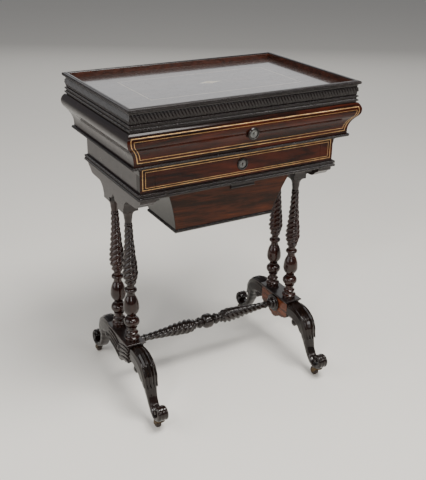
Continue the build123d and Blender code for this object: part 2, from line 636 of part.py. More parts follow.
with BuildPart() as drawer_stringing:
    for line in FLAT_LINES:
        add(line)
    board(-STILE_IN + GAP, STILE_IN - GAP, -CASE_Y - 1, FRONT_IN_Y, DRAWER_FLOOR, DRAWER_HEAD,
          mode=Mode.INTERSECT)
write(drawer_stringing.part, "drawer_stringing")

KEYHOLE_Z = 588.0
with BuildPart() as drawer_front:
    board(-STILE_IN + GAP, STILE_IN - GAP, -CASE_Y, FRONT_BACK_Y, DRAWER_FLOOR + GAP, DRAWER_HEAD - GAP)
    add(drawer_stringing.part, mode=Mode.SUBTRACT)
    board(-25, 25, DRAWER_LOCK_Y[0], DRAWER_LOCK_Y[1], LOCK_BASE, DRAWER_HEAD, mode=Mode.SUBTRACT)
    with Locations(Location((0, -CASE_Y, KEYHOLE_Z), (90, 0, 0))):
        Cylinder(2.6, 14, mode=Mode.SUBTRACT)
write(drawer_front.part, "drawer_front")

drawer_inner = DRAWER_HALF - SIDE_THICK
drawer_box = [
    plank(-DRAWER_HALF, -drawer_inner, FRONT_BACK_Y, DRAWER_REAR, DRAWER_BASE, 608),
    plank(drawer_inner, DRAWER_HALF, FRONT_BACK_Y, DRAWER_REAR, DRAWER_BASE, 608),
    plank(-drawer_inner, drawer_inner, DRAWER_REAR - SIDE_THICK, DRAWER_REAR, DRAWER_BASE + 7, 604),
    plank(-drawer_inner, drawer_inner, FRONT_BACK_Y, DRAWER_REAR, DRAWER_BASE + 2, DRAWER_BASE + 7),
]
write(drawer_box, "drawer_box")

with BuildPart() as drawer_lock_case:
    board(-25, 25, DRAWER_LOCK_Y[0], DRAWER_LOCK_Y[1], LOCK_BASE, DRAWER_HEAD - GAP)
    board(-23.5, 23.5, DRAWER_LOCK_Y[0] + 1.5, DRAWER_LOCK_Y[1] - 1.5, LOCK_BASE + 1.5,
          DRAWER_HEAD - GAP - 1.5, mode=Mode.SUBTRACT)
    board(-8.4, 8.4, -135.4, -129.6, DRAWER_HEAD - 3, DRAWER_HEAD, mode=Mode.SUBTRACT)
    with Locations(Location((0, DRAWER_LOCK_Y[0], KEYHOLE_Z), (90, 0, 0))):
        Cylinder(2.2, 6, mode=Mode.SUBTRACT)
write(drawer_lock_case.part, "drawer_lock_case")

with BuildPart() as drawer_lock_bolt:
    board(-8, 8, -135, -130, 600, 614)
write(drawer_lock_bolt.part, "drawer_lock_bolt")

write(escutcheon(-CASE_Y, KEYHOLE_Z), "drawer_escutcheon")

# ---- sliding bin ---------------------------------------------------------------------
BIN_TOP_X, BIN_BOTTOM_X, BIN_MID_X = 159.0, 126.0, 139.0
BIN_TOP_Y, BIN_BOTTOM_Y = 98.0, 70.0
FRAME_X = 199.5
FRAME_FRONT, FRAME_REAR = -133.0, 118.0
FRAME_TOP = 555.0

MOUTH_X = BIN_TOP_X - BIN_WALL
MOUTH_FRONT = BIN_Y - BIN_TOP_Y + BIN_WALL
MOUTH_REAR = BIN_Y + BIN_TOP_Y - BIN_WALL
bin_frame = [
    plank(-FRAME_X, FRAME_X, FRAME_FRONT, MOUTH_FRONT, BIN_TOP, FRAME_TOP),
    plank(-FRAME_X, FRAME_X, MOUTH_REAR, FRAME_REAR, BIN_TOP, FRAME_TOP),
    plank(-FRAME_X, -MOUTH_X, MOUTH_FRONT, MOUTH_REAR, BIN_TOP, FRAME_TOP),
    plank(MOUTH_X, FRAME_X, MOUTH_FRONT, MOUTH_REAR, BIN_TOP, FRAME_TOP),
]
write(bin_frame, "bin_frame")

PULL_X = 29.0
with BuildPart() as bin_front_moulding:
    with BuildSketch(section_plane("front")):
        with BuildLine():
            closed([(-48, DRAWER_FLOOR - 0.6), (CASE_OUT, DRAWER_FLOOR - 0.6), (-33, 557.5), (-30.6, 551),
                    (-32, 546.5), (-34.5, CASE_BASE), (-48, CASE_BASE)])
        make_face()
    extrude(amount=RETURN_X - GAP, both=True)
    with BuildSketch(section_plane("front")):
        with BuildLine():
            closed([(-31.6, 546.5), (-31, 541), (-33, 538), (-37, 538), (-40, 542), (-44, CASE_BASE),
                    (-34.5, CASE_BASE)])
        make_face()
    extrude(amount=PULL_X, both=True)
write(bin_front_moulding.part, "bin_front_moulding")


def bin_profile(inset):
    """Section across the bin's ends, which are slightly hollow."""
    top, bottom, middle = BIN_TOP_X - inset, BIN_BOTTOM_X - inset, BIN_MID_X - inset
    height = (BIN_TOP + BIN_BOTTOM) / 2
    right = ThreePointArc((top, BIN_TOP), (middle, height), (bottom, BIN_BOTTOM))
    low = Line(right @ 1, (-bottom, BIN_BOTTOM))
    left = ThreePointArc(low @ 1, (-middle, height), (-top, BIN_TOP))
    Line(left @ 1, right @ 0)


def bin_slab(y_top, y_bottom, thickness):
    """Slanted region of the bin, between y_top at its head and y_bottom at its foot."""
    with BuildPart() as slab:
        with BuildSketch(Plane.YZ):
            with BuildLine():
                closed([(y_top, BIN_TOP), (y_bottom, BIN_BOTTOM), (y_bottom + thickness, BIN_BOTTOM),
                        (y_top + thickness, BIN_TOP)])
            make_face()
        extrude(amount=BIN_TOP_X + 10, both=True)
    return slab.part


def bin_body(inset):
    """Bin solid across its ends, endless in depth."""
    with BuildPart() as body:
        with BuildSketch(Plane.XZ.offset(-BIN_Y)):
            with BuildLine():
                bin_profile(inset)
            make_face()
        extrude(amount=BIN_TOP_Y + 10, both=True)
    return body.part


with BuildPart() as bin_front_wall:
    add(bin_slab(BIN_Y - BIN_TOP_Y, BIN_Y - BIN_BOTTOM_Y, BIN_WALL))
    add(bin_body(0), mode=Mode.INTERSECT)

with BuildPart() as bin_rear_wall:
    add(bin_slab(BIN_Y + BIN_TOP_Y, BIN_Y + BIN_BOTTOM_Y, -BIN_WALL))
    add(bin_body(0), mode=Mode.INTERSECT)

with BuildPart() as bin_end_walls:
    with BuildSketch(Plane.YZ):
        with BuildLine():
            closed([(MOUTH_FRONT, BIN_TOP), (BIN_Y - BIN_BOTTOM_Y + BIN_WALL, BIN_BOTTOM),
                    (BIN_Y + BIN_BOTTOM_Y - BIN_WALL, BIN_BOTTOM), (MOUTH_REAR, BIN_TOP)])
        make_face()
    extrude(amount=BIN_TOP_X + 10, both=True)
    add(bin_body(0), mode=Mode.INTERSECT)
    add(bin_body(BIN_WALL), mode=Mode.SUBTRACT)
write([bin_front_wall.part, bin_rear_wall.part, bin_end_walls.part], "bin_walls")

with BuildPart() as bin_bottom:
    board(-128, 128, BIN_Y - 72, BIN_Y + 72, BIN_BOTTOM - 9, BIN_BOTTOM)
    fillet(bin_bottom.edges().filter_by(Axis.Z, reverse=True).group_by(Axis.Z)[0], radius=3)
write(bin_bottom.part, "bin_bottom")
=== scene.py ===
# %% [markdown]
# # A sewing table on twisted columns
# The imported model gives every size, joint and body. This file gives the table its carving, its polish
# and its light. All lengths are in metres, so a value in millimetres is written as a number times mm.
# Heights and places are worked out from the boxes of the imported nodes.

# %% Load the frame
from math import atan, ceil, copysign, cos, hypot, pi, radians, sin
import bmesh
import bpy
from mathutils import Matrix, Vector


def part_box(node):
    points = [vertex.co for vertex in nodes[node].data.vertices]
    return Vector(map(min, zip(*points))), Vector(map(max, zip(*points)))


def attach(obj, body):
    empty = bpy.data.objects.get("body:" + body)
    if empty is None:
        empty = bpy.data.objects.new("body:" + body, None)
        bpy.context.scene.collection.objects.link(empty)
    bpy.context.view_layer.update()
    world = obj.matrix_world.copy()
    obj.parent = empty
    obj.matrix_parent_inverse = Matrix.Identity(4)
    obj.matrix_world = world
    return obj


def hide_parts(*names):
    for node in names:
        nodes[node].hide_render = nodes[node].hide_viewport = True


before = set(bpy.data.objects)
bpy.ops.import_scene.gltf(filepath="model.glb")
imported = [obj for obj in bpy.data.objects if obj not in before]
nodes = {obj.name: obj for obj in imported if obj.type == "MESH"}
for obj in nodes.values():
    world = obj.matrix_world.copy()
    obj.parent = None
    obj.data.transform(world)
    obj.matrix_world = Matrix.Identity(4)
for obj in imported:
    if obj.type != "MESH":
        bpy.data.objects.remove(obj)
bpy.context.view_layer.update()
mm = 0.001


def heights(node):
    """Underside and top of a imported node, in millimetres."""
    low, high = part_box(node)
    return low.z / mm, high.z / mm


lid_low, lid_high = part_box("lid_moulding")
edge_x, edge_y, top_z = lid_high.x, lid_high.y, lid_high.z
print("frame loaded:", len(nodes), "nodes, lid", round(2 * edge_x / mm), "by", round(2 * edge_y / mm), "mm")

# %% [markdown]
# ## Camera, floor and light
# The camera comes first, because every later look depends on it. It stands at the left front corner,
# a little above the table, and looks down at it. A long lens keeps the uprights nearly parallel.
# The polish shows only what it reflects, so there are large soft panels: one behind for the lid, one on
# the left for the end of the case, and one overhead for the bulging front. Three smaller ones in front
# put a glint on the columns, the legs and the beads.

# %% Camera
camera_data = bpy.data.cameras.new("camera")
camera_data.lens = 57.06
camera_data.sensor_width = 36.0
camera = bpy.data.objects.new("camera", camera_data)
bpy.context.scene.collection.objects.link(camera)
bpy.context.scene.camera = camera
azimuth, elevation, roll = radians(-29.7), radians(24.66), radians(0.86)
look = Vector((-sin(azimuth) * cos(elevation), cos(azimuth) * cos(elevation),
               -sin(elevation)))
camera.rotation_euler = (look.to_track_quat("-Z", "Y").to_matrix() @ Matrix.Rotation(roll, 3, "Z")).to_euler()
camera.location = (-0.8097, -1.4435, 1.1122)
print("camera looks along", [round(v, 3) for v in look])

# %% Floor
bpy.ops.object.select_all(action="DESELECT")
bpy.ops.mesh.primitive_grid_add(x_subdivisions=4, y_subdivisions=4, size=30)
floor = bpy.context.object
floor.name = "floor"
print("floor:", round(floor.dimensions.x), "m square")


# %% Soft panels of light
def soft_panel(name, place, aim, width, height, watts, tint=(1.0, 1.0, 1.0)):
    """A large soft light at a place, turned to face a point."""
    data = bpy.data.lights.new(name, "AREA")
    data.shape = "RECTANGLE"
    data.size, data.size_y = width, height
    data.energy = watts
    data.color = tint
    lamp = bpy.data.objects.new(name, data)
    bpy.context.scene.collection.objects.link(lamp)
    lamp.location = place
    lamp.rotation_euler = (Vector(aim) - Vector(place)).to_track_quat("-Z", "Y").to_euler()


soft_panel("panel_behind", (1.9, 3.2, 2.0), (0, 0, 0.75), 4.4, 2.4, 27)
soft_panel("panel_left", (-2.6, 0.4, 1.5), (0, 0, 0.6), 2.4, 2.2, 44)
soft_panel("panel_over", (0.35, -1.15, 3.0), (0, 0, 0.5), 1.5, 1.0, 105, (1.0, 0.98, 0.95))
soft_panel("panel_front", (-1.1, -2.6, 1.3), (0, 0, 0.3), 0.9, 0.7, 14)
soft_panel("lamp_left", (-1.9, -1.7, 2.3), (0, 0, 0.4), 0.36, 0.36, 18, (1.0, 0.97, 0.93))
soft_panel("panel_right", (1.4, -2.4, 1.8), (0, 0, 0.4), 1.3, 0.5, 15, (1.0, 0.97, 0.93))
world = bpy.data.worlds.new("pale_room")
bpy.context.scene.world = world
world.use_nodes = True
background = world.node_tree.nodes["Background"].inputs
background["Color"].default_value = (0.93, 0.95, 1.0, 1.0)
background["Strength"].default_value = 0.22
print("lights:", len(bpy.data.lights))

# %% [markdown]
# ## Writing finishes as sums
# A finish is a set of patterns that are added, multiplied and mixed. One small class wraps a socket, so
# that `grain * 0.5 + 0.2` makes the Math nodes for it. One method makes every other kind of node.


# %% Sockets that can be added and multiplied
class Flow:
    """A value that varies over a surface. Arithmetic on it adds Math nodes."""

    def __init__(self, finish, socket):
        self.finish = finish
        self.socket = socket

    def math(self, operation, first, second=0.0):
        return self.finish.node("ShaderNodeMath", {"operation": operation}, {0: first, 1: second})

    def __add__(self, other):
        return self.math("ADD", self, other)

    def __sub__(self, other):
        return self.math("SUBTRACT", self, other)

    def __rsub__(self, other):
        return self.math("SUBTRACT", other, self)

    def __mul__(self, other):
        return self.math("MULTIPLY", self, other)

    def __gt__(self, other):
        return self.math("GREATER_THAN", self, other)

    def size(self):
        return self.math("ABSOLUTE", self)

    __radd__ = __add__
    __rmul__ = __mul__


# %% A finish and its nodes
class Finish:
    """One material: its nodes, its shader and where on the piece a point lies."""

    def __init__(self, name, **constants):
        self.material = bpy.data.materials.new(name)
        self.material.use_nodes = True
        self.tree = self.material.node_tree
        self.shader = self.tree.nodes["Principled BSDF"]
        for socket, value in constants.items():
            self.shader.inputs[socket.replace("_", " ").title().replace("Ior", "IOR")].default_value = value
        self.place = self.node("ShaderNodeTexCoord", {}, {}, "Object")

    def node(self, kind, settings, inputs, output=0):
        """Make a node, set it up, feed its sockets and hand back one of its outputs."""
        made = self.tree.nodes.new(kind)
        for key, value in settings.items():
            if key == "stops":
                for number, (position, colour) in enumerate(value):
                    stops = made.color_ramp.elements
                    stop = stops[number] if number < 2 else stops.new(position)
                    stop.position, stop.color = position, (*colour, 1.0)
            else:
                setattr(made, key, value)
        for key, value in inputs.items():
            if isinstance(value, Flow):
                self.tree.links.new(value.socket, made.inputs[key])
            else:
                made.inputs[key].default_value = value
        return Flow(self, made.outputs[output])

    def noise(self, scale, detail=4.0, rough=0.55, bend=0.0):
        """Noise that is drawn out by scaling the place on each axis."""
        place = self.node("ShaderNodeMapping", {}, {"Vector": self.place, "Scale": scale})
        return self.node("ShaderNodeTexNoise", {}, {"Vector": place, "Scale": 1.0, "Detail": detail,
                                                    "Roughness": rough, "Distortion": bend})

    def ramp(self, value, *stops):
        return self.node("ShaderNodeValToRGB", {"stops": stops}, {"Fac": value})

    def mix(self, factor, first, second):
        """Mix two colours; a plain colour is given as three numbers."""
        first, second = [(*c, 1.0) if isinstance(c, tuple) else c for c in (first, second)]
        return self.node("ShaderNodeMix", {"data_type": "RGBA"}, {0: factor, 6: first, 7: second}, 2)

    def axes(self):
        """The three numbers of the place on the piece."""
        split = self.node("ShaderNodeSeparateXYZ", {}, {"Vector": self.place})
        return [Flow(self, split.socket.node.outputs[axis]) for axis in "XYZ"]

    def bump(self, height, distance, strength=1.0):
        self.feed("Normal", self.node("ShaderNodeBump", {}, {"Height": height, "Distance": distance,
                                                             "Strength": strength}))

    def feed(self, socket, value):
        self.tree.links.new(value.socket, self.shader.inputs[socket])


print("shader helpers ready")

# %% [markdown]
# ## Woods and metals
# The table is veneered in figured rosewood at the front and top, and the ends and mouldings are stained
# nearly black. All of it is french polished: a clear hard film that reflects sharply, over wood whose
# pores still show as fine streaks along the grain. So each wood is a figure, a grain, open pores and a
# film with faint rubbing marks. Along means the axis that the grain runs on.


# %% One recipe for every wood
def wood(name, along, dark, middle, light, figure=1.0, gloss=0.2, coat=0.6, wear=0.25, shine=0.3, relief=0.5):
    """French-polished wood: broad figure, fine grain and pores, all drawn out along one axis."""
    finish = Finish(name, coat_roughness=0.07, coat_ior=1.55, specular_ior_level=shine)
    broad, fine, pores = [[lengthways if axis == along else across for axis in "XYZ"]
                          for lengthways, across in ((2.6, 16.0), (9.0, 260.0), (45.0, 900.0))]
    cloud = finish.noise(broad, 5.0, 0.6, 1.4 * figure)
    grain = finish.noise(fine, 4.0, 0.6, 0.6)
    pore = finish.noise(pores, 2.0, 0.5)
    mottle = finish.noise((60, 60, 60), 3.0)
    mark = cloud * (0.8 * figure) + grain * 0.45 + mottle * 0.12 - (0.4 * figure + 0.07)
    colour = finish.ramp(mark, (0.12, dark), (0.88, light), (0.48, middle))
    open_pore = finish.ramp(pore, (0.60, (0, 0, 0)), (0.72, (1, 1, 1)))
    colour = finish.mix(open_pore * 0.55, colour, dark)
    finish.feed("Base Color", colour)
    rub = finish.noise((38, 52, 44), 5.0, 0.65)
    finish.feed("Roughness", gloss + rub * wear * 0.5 + open_pore * 0.12)
    finish.feed("Coat Weight", coat - rub * wear)
    finish.bump(grain * 0.35 - open_pore * 0.6 + rub * 0.5, 0.12 * mm, relief)
    return finish


black_tones = ((0.006, 0.004, 0.004), (0.014, 0.008, 0.007), (0.036, 0.017, 0.012))
front_tones = ((0.009, 0.003, 0.002), (0.072, 0.012, 0.004), (0.30, 0.070, 0.014))
front_polish = {"figure": 1.45, "gloss": 0.15, "coat": 0.24, "wear": 0.12, "shine": 0.08, "relief": 0.2}
carved_tones = ((0.005, 0.003, 0.002), (0.014, 0.006, 0.004), (0.05, 0.016, 0.009))
ebony_x = wood("ebonised_along_x", "X", *black_tones, gloss=0.22, coat=0.3, wear=0.16, relief=0.15)
ebony_y = wood("ebonised_along_y", "Y", (0.008, 0.005, 0.005), (0.020, 0.011, 0.009), (0.044, 0.024, 0.017),
               gloss=0.24, coat=0.36, wear=0.18, relief=0.2)
rosewood = wood("rosewood_front", "X", *front_tones, **front_polish)
top_wood = wood("rosewood_top", "X", (0.020, 0.012, 0.010), (0.055, 0.032, 0.025), (0.14, 0.085, 0.062),
                figure=1.2, gloss=0.22, coat=0.95, wear=0.18, shine=0.5, relief=0.3)
turned = wood("turned_upright", "Z", (0.007, 0.002, 0.001), (0.036, 0.008, 0.004), (0.12, 0.028, 0.009),
              gloss=0.14, coat=0.4, wear=0.1, shine=0.22, relief=0.15)
turned_x = wood("turned_across", "X", (0.005, 0.003, 0.002), (0.014, 0.006, 0.004), (0.045, 0.014, 0.008),
                gloss=0.15, coat=0.45, wear=0.1, relief=0.15)
carved = wood("carved_leg", "Z", *carved_tones, gloss=0.15, coat=0.36, wear=0.12, shine=0.22, relief=0.15)
plain_x = wood("waxed_lining_along_x", "X", (0.10, 0.040, 0.016), (0.24, 0.105, 0.042), (0.40, 0.205, 0.092),
               gloss=0.42, coat=0.12)
caster_wood = wood("caster_wheel_wood", "X", (0.012, 0.007, 0.005), (0.045, 0.026, 0.016),
                   (0.11, 0.065, 0.040), gloss=0.4, coat=0.15)
print("woods:", len([m for m in bpy.data.materials if m.use_nodes]))


# %% [markdown]
# ## Faces that differ
# Some pieces are one board or one run of moulding but show two finishes: the inner side of the gallery and
# of the end rails was never stained black, and the ends of the stiles and of the bin were. A mask is worked
# out from the place on the piece and switches the colour, so the piece stays whole and needs no seam.

# %% A second colour by place
skin = 0.4 * mm     # how near to a face a point counts as on it


def recolour_where(finish, mask, dark, light, scales=(70, 70, 180)):
    """Change the colour where the mask is 1, as on inner faces that were never stained black."""
    stained = Flow(finish, finish.shader.inputs["Base Color"].links[0].from_socket)
    bare = finish.ramp(finish.noise(scales, 4.0), (0.32, dark), (0.68, light))
    finish.feed("Base Color", finish.mix(mask, stained, bare))


gallery_wood = wood("gallery_wood", "X", *black_tones, gloss=0.22, coat=0.25, wear=0.16, relief=0.12)
x, y, _ = gallery_wood.axes()
rim = 11.8 * mm     # from the edge of the lid to the inner face of its gallery
recolour_where(gallery_wood, (x.size() * -1.0 > rim - edge_x) * (y.size() * -1.0 > rim - edge_y),
               (0.020, 0.007, 0.004), (0.060, 0.018, 0.010))
rail_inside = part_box("end_rail_right")[0].x
rail_wood = wood("end_rail_wood", "Y", *carved_tones, gloss=0.2, coat=0.3, wear=0.14, relief=0.2)
recolour_where(rail_wood, rail_wood.axes()[0].size() * -1.0 > -(rail_inside + skin),
               (0.024, 0.008, 0.004), (0.15, 0.038, 0.012), scales=(60, 9, 150))
stile_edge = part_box("front_stiles")[1].x
stile_wood = wood("front_stile_wood", "X", *front_tones, **front_polish)
recolour_where(stile_wood, stile_wood.axes()[0].size() > stile_edge - skin, (0.006, 0.005, 0.005),
               (0.018, 0.012, 0.010))
bin_wood = wood("bin_veneer", "X", (0.016, 0.006, 0.003), (0.095, 0.022, 0.007), (0.28, 0.085, 0.024),
                figure=1.5, gloss=0.17, coat=0.14, wear=0.10, shine=0.08, relief=0.2)
x, _, z = bin_wood.axes()
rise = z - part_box("bin_walls")[0].z
foot_half, slope, hollow = 0.1252, 0.1792, 1.246      # the curve of the end walls' outer faces
end_face = rise * slope + rise * rise * hollow + foot_half
recolour_where(bin_wood, x.size() - end_face > 0.0, (0.007, 0.007, 0.006), (0.024, 0.021, 0.018))


# %% [markdown]
# ## Brass, steel, mirror and shell
# The lines let into the fronts are polished brass, dulled in places. Hinges, locks and casters are the
# same metal, browner and rougher, with dirt in their hollows. The keyhole plates are smoked shell.


# %% Metals
def metal(name, clean, dull, gloss, patches):
    """Metal with tarnish in soft patches and fine scratches."""
    finish = Finish(name, metallic=1.0)
    tarnish = finish.noise((patches, patches, patches), 5.0, 0.62, 0.5)
    scratch = finish.noise((1600, 90, 1600), 2.0)
    amount = finish.ramp(tarnish, (0.38, (0, 0, 0)), (0.70, (1, 1, 1)))
    finish.feed("Base Color", finish.mix(amount * 0.75, clean, dull))
    finish.feed("Roughness", gloss + amount * 0.22 + scratch * 0.10)
    finish.bump(tarnish * 0.6 + scratch * 0.4, 0.05 * mm, 0.5)
    return finish


brass_line = metal("brass_line", (0.62, 0.40, 0.18), (0.22, 0.12, 0.05), 0.30, 34)
old_brass = metal("aged_brass", (0.48, 0.34, 0.15), (0.10, 0.065, 0.035), 0.34, 160)
caster_brass = metal("caster_brass", (0.12, 0.08, 0.04), (0.018, 0.013, 0.010), 0.38, 300)
pale_line = metal("pale_line", (0.80, 0.74, 0.62), (0.46, 0.38, 0.28), 0.14, 90)
lock_steel = metal("lock_steel", (0.46, 0.45, 0.43), (0.17, 0.13, 0.10), 0.36, 120)

# %% Mirror and shell
mirror = Finish("old_mirror", metallic=1.0)
foxing = mirror.noise((26, 26, 26), 8.0, 0.7)
spots = mirror.ramp(foxing, (0.62, (0, 0, 0)), (0.74, (1, 1, 1)))
mirror.feed("Base Color", mirror.mix(spots * 0.6, (0.86, 0.88, 0.87), (0.34, 0.29, 0.22)))
mirror.feed("Roughness", spots * 0.35 + 0.02)

shell = Finish("smoked_shell", coat_ior=1.6, coat_roughness=0.06)
lustre = shell.noise((240, 240, 420), 4.0, 0.6, 2.0)
shell.feed("Base Color", shell.ramp(lustre, (0.25, (0.035, 0.034, 0.030)), (0.80, (0.34, 0.32, 0.29)),
                                    (0.52, (0.10, 0.105, 0.10))))
shell.feed("Roughness", lustre * 0.2 + 0.18)
shell.bump(lustre, 0.05 * mm, 0.4)

floor_paint = Finish("pale_floor")
speck = floor_paint.noise((9, 9, 9), 6.0)
floor_paint.feed("Base Color", floor_paint.mix(speck * 0.25, (0.84, 0.81, 0.75), (0.77, 0.74, 0.68)))
floor_paint.feed("Roughness", speck * 0.15 + 0.72)
floor.data.materials.append(floor_paint.material)
print("finishes:", len(bpy.data.materials))

# %% [markdown]
# ## Working as by hand
# Each new piece starts from a primitive and is shaped in edit mode. The helpers below keep that short:
# `pick` opens a piece with only the chosen corners or faces selected, `draw` extrudes one corner from
# point to point, and `settle` moves a finished shape to its place and clears its transform.


# %% Selecting, drawing and placing
def only(piece):
    """Make one object the only one selected, in object mode."""
    if bpy.context.object and bpy.context.object.mode != "OBJECT":
        bpy.ops.object.mode_set(mode="OBJECT")
    bpy.ops.object.select_all(action="DESELECT")
    piece.select_set(True)
    bpy.context.view_layer.objects.active = piece


def pick(piece, kind="VERT", test=lambda part: True):
    """Open a piece in edit mode with only what passes the test selected."""
    only(piece)
    bpy.ops.object.mode_set(mode="EDIT")
    bpy.ops.mesh.select_mode(type=kind)
    bpy.ops.mesh.select_all(action="DESELECT")
    mesh = bmesh.from_edit_mesh(piece.data)
    parts = {"VERT": mesh.verts, "EDGE": mesh.edges, "FACE": mesh.faces}[kind]
    for part in parts:
        if test(part):
            part.select_set(True)
    mesh.select_flush_mode()
    bmesh.update_edit_mesh(piece.data)


def settle(piece, place=(0, 0, 0), turn=(0, 0, 0), grow=(1, 1, 1)):
    """Scale, turn and move a shape, then clear the transform so that its place is in its mesh."""
    only(piece)
    piece.location = Vector(place)
    piece.rotation_euler = turn
    piece.scale = grow
    bpy.ops.object.transform_apply(location=True, rotation=True, scale=True)
    return piece


def extrude(step):
    """Extrude what is selected by one step."""
    bpy.ops.mesh.extrude_region_move(TRANSFORM_OT_translate={"value": step})


def draw(name, points, closed=False):
    """Draw a line in space: one corner is extruded from point to point."""
    bpy.ops.object.select_all(action="DESELECT")
    bpy.ops.mesh.primitive_plane_add(size=mm, location=points[0])
    line = bpy.context.object
    line.name = name
    bpy.ops.object.mode_set(mode="EDIT")
    bpy.ops.mesh.select_mode(type="VERT")
    bpy.ops.mesh.select_all(action="SELECT")
    bpy.ops.mesh.merge(type="CENTER")
    for here, there in zip(points, points[1:]):
        extrude(Vector(there) - Vector(here))
    if closed:
        last = len(points) - 1
        pick(line, "VERT", lambda v: v.index in (0, last))
        bpy.ops.mesh.edge_face_add()
    bpy.ops.object.mode_set(mode="OBJECT")
    return settle(line, points[0])


# %% Closing, cutting, copying and joining
def close_up(piece, angle=35):
    """Merge doubles, point the faces outwards and round the shading across shallow edges."""
    pick(piece)
    bpy.ops.mesh.remove_doubles(threshold=0.005 * mm)
    bpy.ops.mesh.normals_make_consistent(inside=False)
    only(piece)
    bpy.ops.object.shade_smooth_by_angle(angle=radians(angle))
    return piece


def apply(piece, kind, **settings):
    """Add one modifier, set it and apply it."""
    modifier = piece.modifiers.new(kind.lower(), kind)
    for key, value in settings.items():
        setattr(modifier, key, value)
    only(piece)
    bpy.ops.object.modifier_apply(modifier=modifier.name)
    return piece


def cap(piece, axis, *ends):
    """Close the open rings that lie at distances along an axis, in millimetres."""
    for end in ends:
        pick(piece, "VERT", lambda v: abs(v.co[axis] - end * mm) < 0.2 * mm)
        bpy.ops.mesh.edge_face_add()


def copy_of(piece, name):
    only(piece)
    bpy.ops.object.duplicate(linked=False)
    twin = bpy.context.object
    twin.name = name
    return twin


def cut(piece, cutter):
    """Cut one shape out of another, and drop the cutter."""
    apply(piece, "BOOLEAN", object=cutter, operation="DIFFERENCE", solver="EXACT")
    bpy.data.objects.remove(cutter)
    return piece


def cut_box(piece, low, high):
    """Cut a square hole between two corners."""
    bpy.ops.object.select_all(action="DESELECT")
    bpy.ops.mesh.primitive_cube_add(size=1, location=(0, 0, 0))
    low, high = Vector(low), Vector(high)
    return cut(piece, settle(bpy.context.object, (low + high) / 2, grow=high - low))


def join(name, pieces):
    """Join pieces into one object with one mesh."""
    only(pieces[0])
    for piece in pieces:
        piece.select_set(True)
    if len(pieces) > 1:
        bpy.ops.object.join()
    whole = bpy.context.object
    whole.name = name
    whole.data.name = name
    return whole


# %% Handing a piece over
def polish(piece, finish):
    """Give a piece one finish and no other."""
    piece.data.materials.clear()
    piece.data.materials.append(finish.material)


def finish_piece(piece, body, slot, finish, *replaced):
    """Give a piece its finish and its body, and hide the imported nodes that it stands for. The slot is not
    used.
    """
    polish(piece, finish)
    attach(piece, body)
    if replaced:
        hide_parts(*replaced)
    print(piece.name, "-", len(piece.data.polygons), "faces on", body)
    return piece


# %% Profiles with curved stretches
def bow(start, end, rise, count=6):
    """Points of an arc from start to end that rises to the left of the way; start is left out."""
    (ax, ay), (bx, by) = start, end
    chord = hypot(bx - ax, by - ay)
    half = 2 * atan(2 * rise / chord)
    radius = chord / (2 * sin(half))
    left = Vector((ay - by, bx - ax)) / chord
    points = []
    for number in range(1, count + 1):
        angle = half * (2 * number / count - 1)
        t = 0.5 + radius * sin(angle) / chord
        lift = radius * (cos(angle) - cos(half))
        points.append((ax + (bx - ax) * t + left.x * lift, ay + (by - ay) * t + left.y * lift))
    return points


def outline(start, *moves):
    """Points of a profile: each move is a point, or a point, a rise and a count for a curved stretch."""
    points = [start]
    for move in moves:
        points += bow(points[-1], *move) if isinstance(move[0], tuple) else [move]
    return points


stand, black = "case_and_stand", "ebonised_wood"     # the body and the slot that come back most often
print("hand tools ready")

# %% [markdown]
# ## Mouldings
# A moulding is one section run along the edge of a case and mitred at the corners. The ripples were
# scraped in by a machine that let the cutter rise and fall, so here a fine run of the section gets a
# band pattern that pushes its beads in and out. A section is given as outset and height: outset is
# measured outward from the edge of the lid, so the same numbers hold on all four sides.

# %% Runs of moulding
BAND = 0.62832      # distance over which the band pattern repeats by itself
ENDLESS = 1.0e6     # a scale so long that the bands do not change along it, or no limit
SIDES = {"front": 0, "right": 90, "rear": 180, "left": -90}
lid_edge = (edge_x, edge_y, 0.0)     # half length, half depth and middle in Y of what is framed


def run_of(name, section, half_run, step, spare=20 * mm):
    """A straight run of a section along X, its edge line on Y = 0 and its outside towards -Y."""
    start = -half_run - spare
    line = draw(name, [(start, -out * mm, height * mm) for out, height in section], closed=True)
    pick(line)
    extrude((step, 0, 0))
    only(line)
    slices = ceil(2 * (half_run + spare) / step)
    return apply(line, "ARRAY", count=slices, use_relative_offset=False, use_constant_offset=True,
                 constant_offset_displace=(step, 0, 0), use_merge_vertices=True, merge_threshold=0.01 * mm)


# %% Ripples
def ripple(piece, period, depth, lean, outsets, levels):
    """Press ripples into what lies between two outsets and two heights, all in millimetres.

    Lean is how far a ripple slopes as it rises.
    """
    (near, far), (low, high) = outsets, levels
    pick(piece, "VERT", lambda v: near * mm < v.co.y < far * mm and low * mm < v.co.z < high * mm)
    bpy.ops.object.vertex_group_add()
    bpy.ops.object.vertex_group_assign()
    only(piece)
    group = piece.vertex_groups[-1]
    bands = bpy.data.textures.new("bands", "WOOD")
    guide = bpy.data.objects.new("guide", None)
    bpy.context.scene.collection.objects.link(guide)
    steep = period * mm / (BAND * lean) if lean else ENDLESS
    guide.scale = (period * mm / BAND, ENDLESS, steep)
    bpy.context.view_layer.update()
    apply(piece, "DISPLACE", texture=bands, texture_coords="OBJECT", texture_coords_object=guide,
          strength=depth * mm, mid_level=0.5, vertex_group=group.name)
    piece.vertex_groups.clear()
    bpy.data.objects.remove(guide)
    bpy.data.textures.remove(bands)
    return piece


# %% Cutting to length and placing on a side
def trim(piece, *planes):
    """Cut a piece by planes and close the cuts; what lies on a plane's normal side goes."""
    for spot, normal in planes:
        pick(piece)
        bpy.ops.mesh.bisect(plane_co=spot, plane_no=normal, use_fill=True, clear_outer=True)
        only(piece)
    return piece


def mitre(piece, half_run):
    return trim(piece, ((half_run, 0, 0), (1, 1, 0)), ((-half_run, 0, 0), (-1, 1, 0)))


